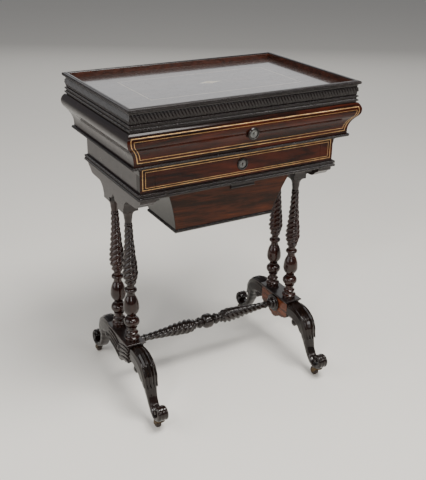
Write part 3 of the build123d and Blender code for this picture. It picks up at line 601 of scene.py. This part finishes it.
def on_side(piece, side, around=lid_edge):
    """Take a length from its own line to one side of what it frames."""
    half_x, half_y, middle = around
    place = {"front": (0, middle - half_y, 0), "rear": (0, middle + half_y, 0),
             "left": (-half_x, middle, 0), "right": (half_x, middle, 0)}[side]
    return settle(piece, place, (0, 0, radians(SIDES[side])))


# %% Whole mouldings
def moulding(name, section, step, sides, decorate=None, around=lid_edge):
    """Mitred lengths of a moulding on the named sides, joined into one piece."""
    lengths = []
    for pair, half_run in ((("front", "rear"), around[0]), (("left", "right"), around[1])):
        wanted = [side for side in pair if side in sides]
        if not wanted:
            continue
        length = run_of(name, section, half_run, step)
        if decorate:
            decorate(length)
        mitre(length, half_run)
        close_up(length)
        for side in wanted:
            lengths.append(on_side(copy_of(length, f"{name}_{side}"), side, around))
        bpy.data.objects.remove(length)
    return join(name, lengths)


def square_length(name, section, half_run, step, decorate=None):
    """One length of a front moulding, cut square at both ends."""
    length = run_of(name, section, half_run, step)
    if decorate:
        decorate(length)
    trim(length, ((half_run, 0, 0), (1, 0, 0)), ((-half_run, 0, 0), (-1, 0, 0)))
    return close_up(on_side(length, "front"))


print("moulding tools ready")

# %% [markdown]
# ## The lid's gallery
# The rim of the lid stands up round the panel. From the top it has a small nosing with a fine rope edge,
# a hollow, a broad band of slanting ripples, and two narrow wavy beads where it meets the box. Its
# inner face is bare of ripples and redder than the rest. Modelled as one section so that every
# highlight runs on round the mitred corners.

# %% Section of the gallery
lid_base = lid_low.z / mm
gallery_top = top_z / mm - 0.1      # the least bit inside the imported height
ledge, _ = heights("lid_panel")
gallery_section = outline(
    (-12, gallery_top - 4), ((-8.6, gallery_top), 1.2, 5), ((-5.4, gallery_top - 0.4), 0.2, 3),
    (-5.0, gallery_top - 1.4), ((-3.6, gallery_top - 1.0), 0.4, 3), ((-0.4, gallery_top - 2.6), 0.9, 5),
    ((-0.5, gallery_top - 4.6), 0.5, 4), (-1.0, gallery_top - 4.9), ((-1.0, gallery_top - 7.2), 0.5, 4),
    ((-5.8, gallery_top - 11.6), -1.2, 5), (-6.4, gallery_top - 12.0), ((-6.4, 714.4), 1.9, 10),
    (-6.8, 713.6), (-5.0, 713.2), ((-5.0, 708.6), 1.3, 6), (-6.0, 708.0), (-6.0, 705.4), (-4.8, 705.0),
    ((-4.8, 699.6), 1.3, 6), (-6.0, 699.0), (-6.0, lid_base), (-24, lid_base), (-24, ledge), (-12, ledge))


def ripple_gallery(run):
    """Slanting ripples on the broad band, wavy beads below it and a fine rope at the top edge."""
    ripple(run, 7.4, 2.0, 0.55, (2, 6.2), (714.8, gallery_top - 12.2))
    ripple(run, 6.0, 2.0, 0.0, (-ENDLESS, 4.8), (700, 713))
    return ripple(run, 4.0, 0.7, 0.8, (-ENDLESS, 0.95), (gallery_top - 7, ENDLESS))


gallery = moulding("lid_gallery", gallery_section, 0.95 * mm, SIDES, ripple_gallery)
finish_piece(gallery, "lid", black, gallery_wood, "lid_moulding")
print("gallery is", round((max(v.co.z for v in gallery.data.vertices) - lid_low.z) / mm, 1), "mm high")

# %% [markdown]
# ## The ogee box
# The box between lid and drawer has bulging sides. Its front is one sheet of figured rosewood bent over
# the curve, its ends are stained black, and light runs along the bulge as one clean line. A smooth
# section run straight and mitred gives that line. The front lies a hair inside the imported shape, so that
# the brass lines let into it stand at the surface.

# %% Ogee boards
box_floor, box_top = heights("ogee_front")


def ogee_section(inset):
    """Bulge over hollow, as outset and height."""
    return outline((-34, box_floor), (-16 - inset, box_floor), (-16 - inset, box_floor + 5),
                   ((-2 - inset, 665.7), 3.9, 16), ((-3 - inset, box_top), -7.0, 24), (-34, box_top))


ogee_front = moulding("ogee_front_veneered", ogee_section(0.15), 40 * mm, ["front"])
finish_piece(ogee_front, stand, "rosewood_veneer", rosewood, "ogee_front")
ogee_ends = moulding("ogee_ends", ogee_section(0.1), 40 * mm, ["left", "right"])
finish_piece(ogee_ends, stand, black, ebony_y, "ogee_left", "ogee_right")

# %% [markdown]
# ## Ripple mouldings of the case
# Under the box runs a nosing with fine upright ripples, and the drawer's bolt rises into a mortise in its
# underside. Round the foot of the case run two rows of
# ripples, one above the other, and the front length of that moulding belongs to the bin, which slides.

# %% Nosing under the box
case_out = -36.5        # outset of the case's walls
stile_in = case_out - 16


def nosing_section(back, *underside):
    """A rounded nose on a flat back, with its own underside."""
    return outline((back, box_floor), (-15, box_floor), ((-11.8, 624.6), 1.0, 4), ((-12.2, 621.2), 1.2, 6),
                   (-15.5, 619.6), *underside)


nosing_front = nosing_section(stile_in, (-20, 618), (-28, 616), (stile_in, 616))
nosing_side = nosing_section(case_out, (-31, 613.6), ((-35.6, 605), -1.6, 6), (case_out, 599.5))


def ripple_nosing(run):
    return ripple(run, 6.0, 1.9, 0.0, (-ENDLESS, 16), (-ENDLESS, 625.5))


bolt_low, bolt_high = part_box("drawer_lock_bolt")
play, throw = Vector((1, 1, 0)) * mm, Vector((0, 0, 8 * mm))
mortised = cut_box(moulding("nosing_front", nosing_front, 1.0 * mm, ["front"], ripple_nosing),
                   bolt_low - play, bolt_high + play + throw)
nosings = [mortised,
           moulding("nosing_sides", nosing_side, 1.0 * mm, ["left", "right", "rear"], ripple_nosing)]
finish_piece(join("nosing_under_box", nosings), stand, black, ebony_x, "ogee_ripple_moulding")

# %% Base moulding, fixed part and sliding part
base_floor, base_top = heights("base_ripple_moulding")
pull_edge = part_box("bin_front_moulding")[1].x


def base_section(depth, top):
    """Two small beads with a groove between them, on a flat back."""
    return outline((case_out - depth, top), (case_out, top), (-34.0, top - 1.2), ((-32.0, 554.8), 1.5, 6),
                   (-34.2, 553.6), (-32.2, 552.6), ((-31.6, 547.0), 1.4, 6), (-34.5, base_floor + 0.2),
                   (case_out - depth, base_floor))


def ripple_base(run):
    """Ripples on the upper bead and on the lower one, which leave the groove between them plain."""
    ripple(run, 5.6, 1.8, 0.0, (-ENDLESS, 34.1), (554, ENDLESS))
    return ripple(run, 5.6, 1.8, 0.0, (-ENDLESS, 34.1), (-ENDLESS, 553.4))


base_front = moulding("base_front", base_section(15.9, base_top), 1.0 * mm, ["front"], ripple_base)
gap_edge = pull_edge + 0.5 * mm
returns = [trim(copy_of(base_front, "return"), ((side * gap_edge, 0, 0), (-side, 0, 0))) for side in (-1, 1)]
bpy.data.objects.remove(base_front)
base_sides = moulding("base_sides", base_section(0.1, base_top), 1.0 * mm, ["left", "right", "rear"],
                      ripple_base)
base = join("base_moulding_fixed", returns + [base_sides])
finish_piece(base, stand, black, ebony_x, "base_ripple_moulding")

lip_low, slide_top = heights("bin_front_moulding")
slide = square_length("bin_pull_moulding", base_section(11.5, slide_top), pull_edge, 1.0 * mm, ripple_base)
lip_section = outline((-32.2, 547.0), ((-31.4, lip_low + 2.6), -0.5, 4), ((-35.4, lip_low + 0.2), 1.6, 6),
                      ((-39.6, lip_low + 3.6), 1.2, 5), (-44, base_floor), (-44, base_floor + 1),
                      (-34, 547.2))
lip = square_length("pull_lip", lip_section, 29 * mm, 4 * mm)
finish_piece(join("bin_pull_moulding", [slide, lip]), "bin", black, ebony_x, "bin_front_moulding")

# %% [markdown]
# ## Turning
# Columns, rosettes and key rings come off a lathe: a profile is drawn once and spun about its axis. The
# twist is then carved. Its section is a ring of four rounded strands, and the ring is extruded upward in
# small steps, each turned a little and scaled to the column's swell.


# %% Lathe and twist
def turn(name, profile, steps=48):
    """Spin a profile of radius and height in millimetres about Z."""
    line = draw(name, [(radius * mm, 0, height * mm) for radius, height in profile])
    pick(line)
    bpy.ops.mesh.spin(steps=steps, angle=2 * pi, center=(0, 0, 0), axis=(0, 0, 1))
    only(line)
    return close_up(line, 40)


# %% Twist
def swell_at(stations, height):
    """Radius between the stations (height, radius), smoothly joined."""
    for (low, start), (high, end) in zip(stations, stations[1:]):
        if low <= height <= high:
            t = (height - low) / (high - low)
            return start + (end - start) * t * t * (3 - 2 * t)
    return stations[-1][1]


def twisted(name, stations, lead):
    """A shaft of four strands that wind round each other once in every lead, from the first height up."""
    strands, valley, step = 4, 0.74, 1.5
    around = strands * 9
    ring = []
    for number in range(around):
        angle = 2 * pi * number / around
        crest = abs(cos(strands * angle / 2)) ** 0.8
        reach = (valley + (1 - valley) * crest) * stations[0][1] * mm
        ring.append((reach * cos(angle), reach * sin(angle), stations[0][0] * mm))
    shaft = draw(name, ring, closed=True)
    pick(shaft)
    length = stations[-1][0] - stations[0][0]
    count = round(length / step)
    rise = length / count
    for number in range(count):
        low = stations[0][0] + rise * number
        ratio = swell_at(stations, low + rise) / swell_at(stations, low)
        middle = (0, 0, (low + rise) * mm)
        extrude((0, 0, rise * mm))
        bpy.ops.transform.resize(value=(ratio, ratio, 1), center_override=middle)
        bpy.ops.transform.rotate(value=-2 * pi * rise / lead, orient_axis="Z", center_override=middle)
    cap(shaft, 2, stations[0][0], stations[-1][0])
    close_up(shaft, 180)
    return apply(shaft, "TRIANGULATE", quad_method="SHORTEST_DIAGONAL")


# %% [markdown]
# ## Columns
# Each end of the table stands on two columns. From the top: a cap and a small bell, a long rope twist
# that is fullest near its foot, a collar, a plain vase, a ball, and a flared foot with rings. One
# column is made at the origin, then each corner gets its own copy.

# %% One column and its four copies
foot, head = heights("column_front_left")
upper = outline((0.01, head), (15, head), ((15.6, head - 1.6), 0.5, 4), ((14.6, head - 3.2), 0.5, 4),
                (13.0, head - 3.6), (12.6, head - 6), ((9.4, head - 19), -0.9, 8), ((8.0, 456), -0.3, 6),
                ((8.8, 452), 0.5, 5), (7.0, 449), (0.01, 448))
lower = outline((0.01, 304), (8.6, 304), (9.0, 297.6), (10.4, 296.6), ((10.4, 286.4), 4.0, 12), (9.6, 285.4),
                ((10.2, 277), -0.5, 5), ((18.0, 250), 1.8, 10), ((10.6, 229), 2.8, 10), (8.0, 226.6),
                (9.8, 225.6), ((9.8, 222.6), 0.9, 5), (8.6, 221.8), (10.4, 221), ((10.2, 198.6), 8.0, 16),
                (8.8, 197.6), (11.4, 196.8), ((11.4, 193.4), 1.0, 5), (10.2, 192.4), ((10.6, 186), -0.4, 4),
                (13.0, 182.6), ((13.4, 179.8), 1.1, 5), (12.6, 178.4), ((14.6, 171.4), -0.9, 6),
                (16.4, 170.4), ((16.4, 165.8), 1.5, 6), (15.4, 165), (15.8, foot), (0.01, foot))
rope = twisted("rope", [(300, 8.8), (312, 13.8), (331, 18.4), (350, 17.4), (385, 13.6), (420, 10.6),
                        (450, 9.4)], 51.0)
column = join("column", [turn("column_head", upper), turn("column_foot", lower), rope])
print("column:", len(column.data.polygons), "faces")
corners = ("front_left", "front_right", "rear_left", "rear_right")
for corner in corners:
    low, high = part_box(f"column_{corner}")
    post = settle(copy_of(column, f"twist_column_{corner}"), ((low.x + high.x) / 2, (low.y + high.y) / 2, 0))
    finish_piece(post, stand, "turned_rosewood", turned, f"column_{corner}")
bpy.data.objects.remove(column)

# %% [markdown]
# ## Stretcher
# One turned rail ties the two ends. It has a ball in the middle between two rings, and from each ring a
# twist that starts full and dies away to a thin neck. The two twists wind opposite ways, so half of the
# rail is made and the other half is its mirror image.

# %% Stretcher and rosettes
rail_low, rail_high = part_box("stretcher")
middle_z = (rail_low.z + rail_high.z) / 2
reach = rail_high.x / mm
hub = outline((0.01, 0), (18.2, 0), ((10, 14.6), -3.4, 10), (9.4, 15.6), (11.6, 16.4), (11.6, 18),
              (10, 18.6), ((10, 27.4), -4.3, 10), (11.6, 28), (11.6, 29.6), (9, 30.6), ((9, 36.4), 0.4, 5),
              (12.4, 37), ((12.4, 39.4), -0.8, 4), (8, 40.2), (0.01, 40.2))
neck = outline((0.01, 171), (8.6, 171), ((8.6, 174), -1.2, 5), (7.6, 174.6), (7.9, reach), (0.01, reach))
half = join("stretcher_half", [turn("hub", hub), turn("neck", neck), twisted("rail_rope", [
    (39, 12.5), (48, 17.2), (60, 18.4), (84, 16.4), (120, 12.4), (150, 9.6), (172, 8.2)], 54.0)])
pick(half, "FACE", lambda f: f.calc_center_median().z < 0.01 * mm)
bpy.ops.mesh.delete(type="FACE")
settle(half, turn=(0, pi / 2, 0))
apply(half, "MIRROR", use_axis=(True, False, False), merge_threshold=0.05 * mm)
close_up(half, 60)
half.name = "twisted_stretcher"
settle(half, (0, 0, middle_z))
finish_piece(half, stand, "turned_rosewood", turned_x, "stretcher")

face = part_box("stretcher_rosettes")[1].x / mm
dish = outline((8.1, face), (22, face), ((22.8, face - 2), 0.5, 4), ((21.6, face - 4.4), 1.0, 5),
               (19.6, face - 4.8), ((14.2, face - 10.4), -2.2, 8), (12.8, face - 11),
               ((12.2, face - 15), 1.4, 6), (10.8, face - 16.8), (8.1, face - 16.8), (8.1, face))
rosette = settle(turn("rosette", dish), (0, 0, 0), (0, pi / 2, 0))
twin = settle(copy_of(rosette, "rosette_twin"), turn=(0, 0, pi))
rosettes = settle(join("rosettes", [rosette, twin]), (0, 0, middle_z))
finish_piece(close_up(rosettes, 40), stand, black, turned_x, "stretcher_rosettes")

# %% [markdown]
# ## Scroll legs
# Each leg is one flowing scroll: it leaves the end rail, turns down at a broad reeded knee, narrows at the
# ankle and curls up into a volute that stands on the caster. A reeded section is drawn, extruded along
# X in small steps while its width and depth change, and then bent along a curve, as a strip of clay
# would be. A leaf wraps the knee and ends in points, a second one wraps the outside of the volute, a
# small roll closes the inner corner, and a stub through the volute makes its eye.


# %% Sweeping a section along a bent line
def swept(name, ring, stations, step):
    """Extrude a ring of (depth, width) along X; stations are (distance, width, depth) in millimetres."""
    start = stations[0]
    strip = draw(name, [(start[0] * mm, depth * start[2] * mm, width * start[1] * mm) for depth, width in ring],
                 closed=True)
    widths = [(station[0], station[1]) for station in stations]
    depths = [(station[0], station[2]) for station in stations]
    length = stations[-1][0] - start[0]
    count = round(length / step)
    pick(strip)
    for number in range(count):
        here = start[0] + length * number / count
        there = start[0] + length * (number + 1) / count
        wider = swell_at(widths, there) / swell_at(widths, here)
        deeper = swell_at(depths, there) / swell_at(depths, here)
        extrude(((there - here) * mm, 0, 0))
        bpy.ops.transform.resize(value=(1, deeper, wider), center_override=(there * mm, 0, 0))
    cap(strip, 0, start[0], stations[-1][0])
    only(strip)
    return strip


# %% Bending a strip
def bent(strip, path):
    """Bend a strip along a curve of (depth, height), then stand it up in the middle plane of one end."""
    bpy.ops.object.select_all(action="DESELECT")
    bpy.ops.curve.primitive_nurbs_path_add()
    route = bpy.context.object
    route.data.dimensions = "2D"
    route.data.resolution_u = 16
    spline = route.data.splines[0]
    spline.points.add(len(path) - len(spline.points))
    for point, (depth, height) in zip(spline.points, path):
        point.co = (depth * mm, height * mm, 0, 1)
    spline.order_u = 3
    spline.use_endpoint_u = True
    apply(strip, "CURVE", object=route, deform_axis="POS_X")
    bpy.data.objects.remove(route)
    strip.matrix_world = Matrix(((0, 0, 1, 0), (1, 0, 0, 0), (0, 1, 0, 0), (0, 0, 0, 1)))
    only(strip)
    bpy.ops.object.transform_apply(location=True, rotation=True, scale=True)
    return strip


# %% A reeded section
def reeded(count, reeds, depth):
    """A rounded block section with reeds along its outer face, as (depth, width) from -1 to 1."""
    ring = []
    for number in range(count):
        angle = 2 * pi * number / count
        width = copysign(abs(cos(angle)) ** 0.6, cos(angle))
        tall = copysign(abs(sin(angle)) ** 0.62, sin(angle))
        outer = max(0.0, sin(angle)) ** 0.5
        tall += depth * outer * (abs(cos(pi * reeds * width / 2)) - 0.6)
        side = abs(cos(angle)) ** 0.5
        width -= copysign(0.05 * side * (1 - abs(cos(2.2 * pi * tall))), width)
        ring.append((tall, width))
    return ring


# %% The scroll of one leg
leg_path = [(50, 131), (72, 136), (94, 134), (113, 126), (124, 110), (130, 92), (135, 76), (142, 60), (151, 45),
            (166, 35), (182, 33.5), (195.4, 40), (198.2, 53), (189.6, 63), (178, 61), (173, 52), (179, 45)]
leg_stations = [(0, 18.6, 20), (22, 19, 19), (43, 19, 20), (62, 19, 19), (81, 18.4, 16.6), (100, 16.2, 12.6),
                (117, 13.8, 9.8), (135, 12.4, 7.8), (152, 12.2, 7), (169, 13.2, 6.6), (184, 14.2, 5.8),
                (198, 13.8, 5.8), (211, 12.8, 5.4), (222, 12, 4.6), (232, 11, 4), (240, 10, 3)]
leg = bent(swept("leg", reeded(64, 5, 0.16), leg_stations, 2.4), leg_path)
pick(leg, "VERT", lambda v: v.co.z < 84 * mm and v.co.y < 156 * mm)
bpy.ops.mesh.vertices_smooth(factor=0.5, repeat=5)
only(leg)

# %% Leaf on the knee
leaf_end, leaf_half, notch_half = 116, 18.6, 3.9
leaf = swept("knee_leaf", reeded(64, 5, 0.24), [(14, 19.4, 20.2), (43, 20.2, 21.6), (62, 20.2, 21.0),
                                               (81, 19.6, 18.6), (98, 18.2, 15.0), (leaf_end, 17.2, 12.4)], 2.3)
trim(leaf, ((98 * mm, 0, 0), (1, -1.15, 0)))
for rib_gap in (-0.6, -0.2, 0.2, 0.6):
    spot = rib_gap * leaf_half
    tip, mouth = (leaf_end - 18) * mm, (leaf_end + 4) * mm
    notch = draw("notch", [(tip, -0.03, spot * mm), (mouth, -0.03, (spot - notch_half) * mm),
                           (mouth, -0.03, (spot + notch_half) * mm)], closed=True)
    pick(notch)
    bpy.ops.mesh.edge_face_add()
    extrude((0, 0.06, 0))
    close_up(notch)
    cut(leaf, notch)
bent(leaf, leg_path)

# %% Roll, eye and toe leaf
roll_profile = outline((0.01, 18.5), (4, 18.5), ((5, 17.2), 0.4, 3), (8.4, 16.4), ((8.8, 12.6), 0.8, 4),
                       (7.2, 12), (8.6, 11.2), ((8.6, -11.2), 1.2, 8), (7.2, -12), (8.8, -12.6),
                       ((8.4, -16.4), 0.8, 4), (5, -17.2), ((4, -18.5), 0.4, 3), (0.01, -18.5))
roll = settle(turn("knee_roll", roll_profile, 32), (0, 87 * mm, 111.5 * mm), (0, pi / 2, 0))
eye_profile = outline((0.01, 14.6), ((3.6, 13.4), 0.5, 4), ((4.6, 11.4), 0.6, 3), (4.6, -11.4),
                      ((3.6, -13.4), 0.6, 3), ((0.01, -14.6), 0.5, 4))
eye = settle(turn("volute_eye", eye_profile, 24), (0, 183 * mm, 51 * mm), (0, pi / 2, 0))
toe_ring = [(-depth, width) for depth, width in reversed(reeded(64, 3, 0.24))]
toe = bent(swept("toe_leaf", toe_ring, [(166, 12.4, 6.4), (176, 14.4, 6.6), (184, 14.9, 6.5), (198, 14.4, 6.4),
                                        (211, 13.4, 5.9), (222, 12.6, 5.1), (231, 11.6, 4.4)], 1.6), leg_path)
leg = join("leg", [close_up(leg, 50), close_up(leaf, 50), close_up(toe, 50), roll, eye])
print("leg:", len(leg.data.polygons), "faces")

# %% Four legs
for corner in corners:
    low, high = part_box(f"leg_{corner}")
    half_turn = pi if corner.startswith("front") else 0
    made = settle(copy_of(leg, f"scroll_leg_{corner}"), ((low.x + high.x) / 2, 0, 0), (0, 0, half_turn))
    finish_piece(made, stand, black, carved, f"leg_{corner}")
bpy.data.objects.remove(leg)

# %% [markdown]
# ## End rails and plinths
# A short rail with a scalloped lower edge joins the two legs of an end. Its inner face is plain and
# redder, and its outer face is carved with long ribs that run on into the legs. On it lies a plinth
# with a moulded edge, which the columns stand on.

# %% End rails
_, rail_top = heights("end_rail_left")
rail_half = outline((0, rail_top), (58, rail_top), (58, 112), ((49, 105.5), -1.2, 4), ((38, 102), -1.4, 4),
                    (23, 101), ((14, 95), 1.6, 5), ((9, 90), -1.6, 4), ((0, 88), -1.2, 4))
rail_outline = rail_half + [(-depth, height) for depth, height in reversed(rail_half[1:-1])]
rail_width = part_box("end_rail_left")[1].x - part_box("end_rail_left")[0].x
block = draw("rail_block", [(-rail_width / 2, depth * mm, height * mm) for depth, height in rail_outline],
             closed=True)
pick(block)
bpy.ops.mesh.edge_face_add()
extrude((rail_width, 0, 0))
only(block)
close_up(block, 30)
apply(block, "BEVEL", width=0.8 * mm, segments=2, limit_method="ANGLE", angle_limit=radians(60))

# %% Ribs and boss of the end rails
rib_lines = [[(3, 97), (16, 106), (34, 111), (60, 116)], [(2, 109), (18, 117), (38, 122), (60, 126)],
             [(2, 121), (20, 129), (40, 133), (60, 135)], [(2, 134), (22, 140), (42, 143), (60, 143)]]
round_ring = [(sin(pi * n / 4), cos(pi * n / 4)) for n in range(8)]
ribs = []
for line in rib_lines:
    rib = bent(swept("rib", round_ring, [(0, 2.2, 1.6), (12, 3.0, 3.6), (45, 3.2, 4.2), (58, 2.6, 3.0)], 3.0),
               line)
    settle(rib, (-rail_width / 2, 0, 0))
    ribs += [close_up(rib, 60), close_up(settle(copy_of(rib, "rib_twin"), grow=(1, -1, 1)), 60)]
boss = turn("boss", outline((0.01, 4), ((6.5, 1.8), 0.9, 5), ((8.2, 0), 0.6, 4), (8.2, -3), (0.01, -3)), 24)
settle(boss, (-rail_width / 2, 0, 122 * mm), (0, -pi / 2, 0))
rail = join("rail", [block, boss] + ribs)
for side, turned_by in (("left", 0), ("right", pi)):
    low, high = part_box(f"end_rail_{side}")
    made = settle(copy_of(rail, f"carved_rail_{side}"), ((low.x + high.x) / 2, 0, 0), (0, 0, turned_by))
    finish_piece(close_up(made), stand, black, rail_wood, f"end_rail_{side}")
bpy.data.objects.remove(rail)


# %% Plinths, slabs with moulded edges
def slab(name, low, high, steps):
    """A slab whose edge follows steps of (inset, height) from its underside up."""
    bpy.ops.object.select_all(action="DESELECT")
    bpy.ops.mesh.primitive_plane_add(size=1, location=(0, 0, 0))
    board = bpy.context.object
    board.name = name
    half_x, half_y = (high.x - low.x) / 2, (high.y - low.y) / 2
    middle = Vector(((low.x + high.x) / 2, (low.y + high.y) / 2, 0))
    inset, height = steps[0]
    settle(board, middle + Vector((0, 0, height * mm)),
           grow=(2 * (half_x - inset * mm), 2 * (half_y - inset * mm), 1))
    pick(board, "FACE", lambda f: True)
    for (now, level), (then, up) in zip(steps, steps[1:]):
        extrude((0, 0, (up - level) * mm))
        ratio_x = (half_x - then * mm) / (half_x - now * mm)
        ratio_y = (half_y - then * mm) / (half_y - now * mm)
        bpy.ops.transform.resize(value=(ratio_x, ratio_y, 1), center_override=middle + Vector((0, 0, up * mm)))
    only(board)
    return close_up(board, 30)


for side in ("left", "right"):
    low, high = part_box(f"plinth_{side}")
    under, over = heights(f"plinth_{side}")
    edge = [(3.6, under), (3.4, under + 1.4), (2.2, under + 2.6), (0.7, under + 3.6), (0, under + 4.8),
            (0, under + 6.4), (0.5, under + 7.4), (1.3, over)]
    finish_piece(slab(f"moulded_plinth_{side}", low, high, edge), stand, black, ebony_y, f"plinth_{side}")

# %% [markdown]
# ## Foot of the bin
# The bin's bottom board shows a rippled edge like the one under the case. It is the same tool on a smaller
# frame: the section is run round the foot and mitred, and a plain slab fills the middle.

# %% Rippled rim and board
foot_low, foot_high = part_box("bin_bottom")
foot_under, foot_over = heights("bin_bottom")
around_foot = (foot_high.x, (foot_high.y - foot_low.y) / 2, (foot_high.y + foot_low.y) / 2)
foot_section = outline((-20, foot_over), (-3.0, foot_over), (-2.2, foot_over - 1),
                       ((-2.2, foot_under + 1.4), 2.0, 8), (-3.2, foot_under), (-20, foot_under))


def ripple_foot(run):
    return ripple(run, 5.6, 1.8, 0.0, (-ENDLESS, 3), (-ENDLESS, foot_over - 0.5))


foot_rim = moulding("foot_rim", foot_section, 1.0 * mm, SIDES, ripple_foot, around_foot)
foot_board = slab("foot_board", foot_low, foot_high, [(19.8, foot_under), (19.8, foot_over)])
finish_piece(join("bin_foot_rippled", [foot_rim, foot_board]), "bin", black, ebony_x, "bin_bottom")

# %% [markdown]
# ## Keyholes
# A turned horn ring stands round each keyhole, and inside it lies a disc of pale shell. The hole itself is
# cut through the disc, so that the dark of the lock shows.

# %% Rings and plates
key_ring = outline((9.0, 0.2), (9.0, 2.2), ((9.6, 3.2), -0.2, 3), ((11.2, 2.7), 0.2, 3), (11.6, 2.2),
                   ((12.9, 1.6), 0.3, 4), ((13, -0.6), 0.2, 3))
disc = outline((0.01, 1.2), ((8.2, 1.0), 0.1, 4), ((8.95, 0.6), 0.1, 3), (8.95, 0), (0.01, 0))
for name, body, node in (("lid", stand, "lid_escutcheon"), ("drawer", "drawer", "drawer_escutcheon")):
    low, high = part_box(node)
    back = 12.0 if name == "lid" else 0.0      # the ogee front curves away behind the lid's ring
    ring = turn(f"{name}_key_ring", key_ring + [(13, -back), (9.0, -back), (9.0, 0.2)], 48)
    spot = ((low.x + high.x) / 2, low.y + 3.2 * mm, (low.z + high.z) / 2)
    settle(ring, spot, (pi / 2, 0, 0))
    finish_piece(ring, body, "escutcheon_horn", turned_x, node)
    plate = turn(f"{name}_key_plate", disc, 48)
    hole = settle(turn("hole", [(0.01, 3), (1.9, 3), (1.9, -3), (0.01, -3)], 24), (0, 1.4 * mm, 0))
    cut(plate, hole)
    cut_box(plate, (-0.9 * mm, -4.2 * mm, -3 * mm), (0.9 * mm, 1.2 * mm, 3 * mm))
    close_up(settle(plate, spot, (pi / 2, 0, 0)), 35)
    finish_piece(plate, body, "escutcheon_horn", shell)

# %% [markdown]
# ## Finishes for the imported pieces
# Flat boards, locks, hinges and the drawer box already have their real shape, so they keep it and get the
# finish of their wood or metal. Where one board shows two finishes, a mask by its place mixes them.

# %% Hand out the finishes
packed = {
    ebony_y: ["case_side_left", "case_side_right", "bracket_left", "bracket_right", "ogee_rear"],
    ebony_x: ["case_back", "runners"],
    rosewood: ["drawer_front"],
    bin_wood: ["bin_walls"],
    stile_wood: ["front_stiles"],
    top_wood: ["lid_panel"],
    brass_line: ["case_stringing", "drawer_stringing"],
    pale_line: ["lid_inlay"],
    old_brass: ["case_hinge_leaves", "lid_hinge_leaves", "lid_strike_plate", "lid_lock_case",
                "drawer_lock_case"],
    lock_steel: ["lid_lock_bolt", "drawer_lock_bolt"],
    caster_brass: ["caster_plates"] + [f"caster_fork_{corner}" for corner in corners],
    caster_wood: [f"caster_wheel_{corner}" for corner in corners],
    plain_x: ["sewing_tray", "dust_board", "drawer_box", "bin_frame", "lid_mirror_frame"],
    mirror: ["lid_mirror"],
}
for finish, names in packed.items():
    for name in names:
        polish(nodes[name], finish)
print("finished nodes:", sum(len(names) for names in packed.values()))
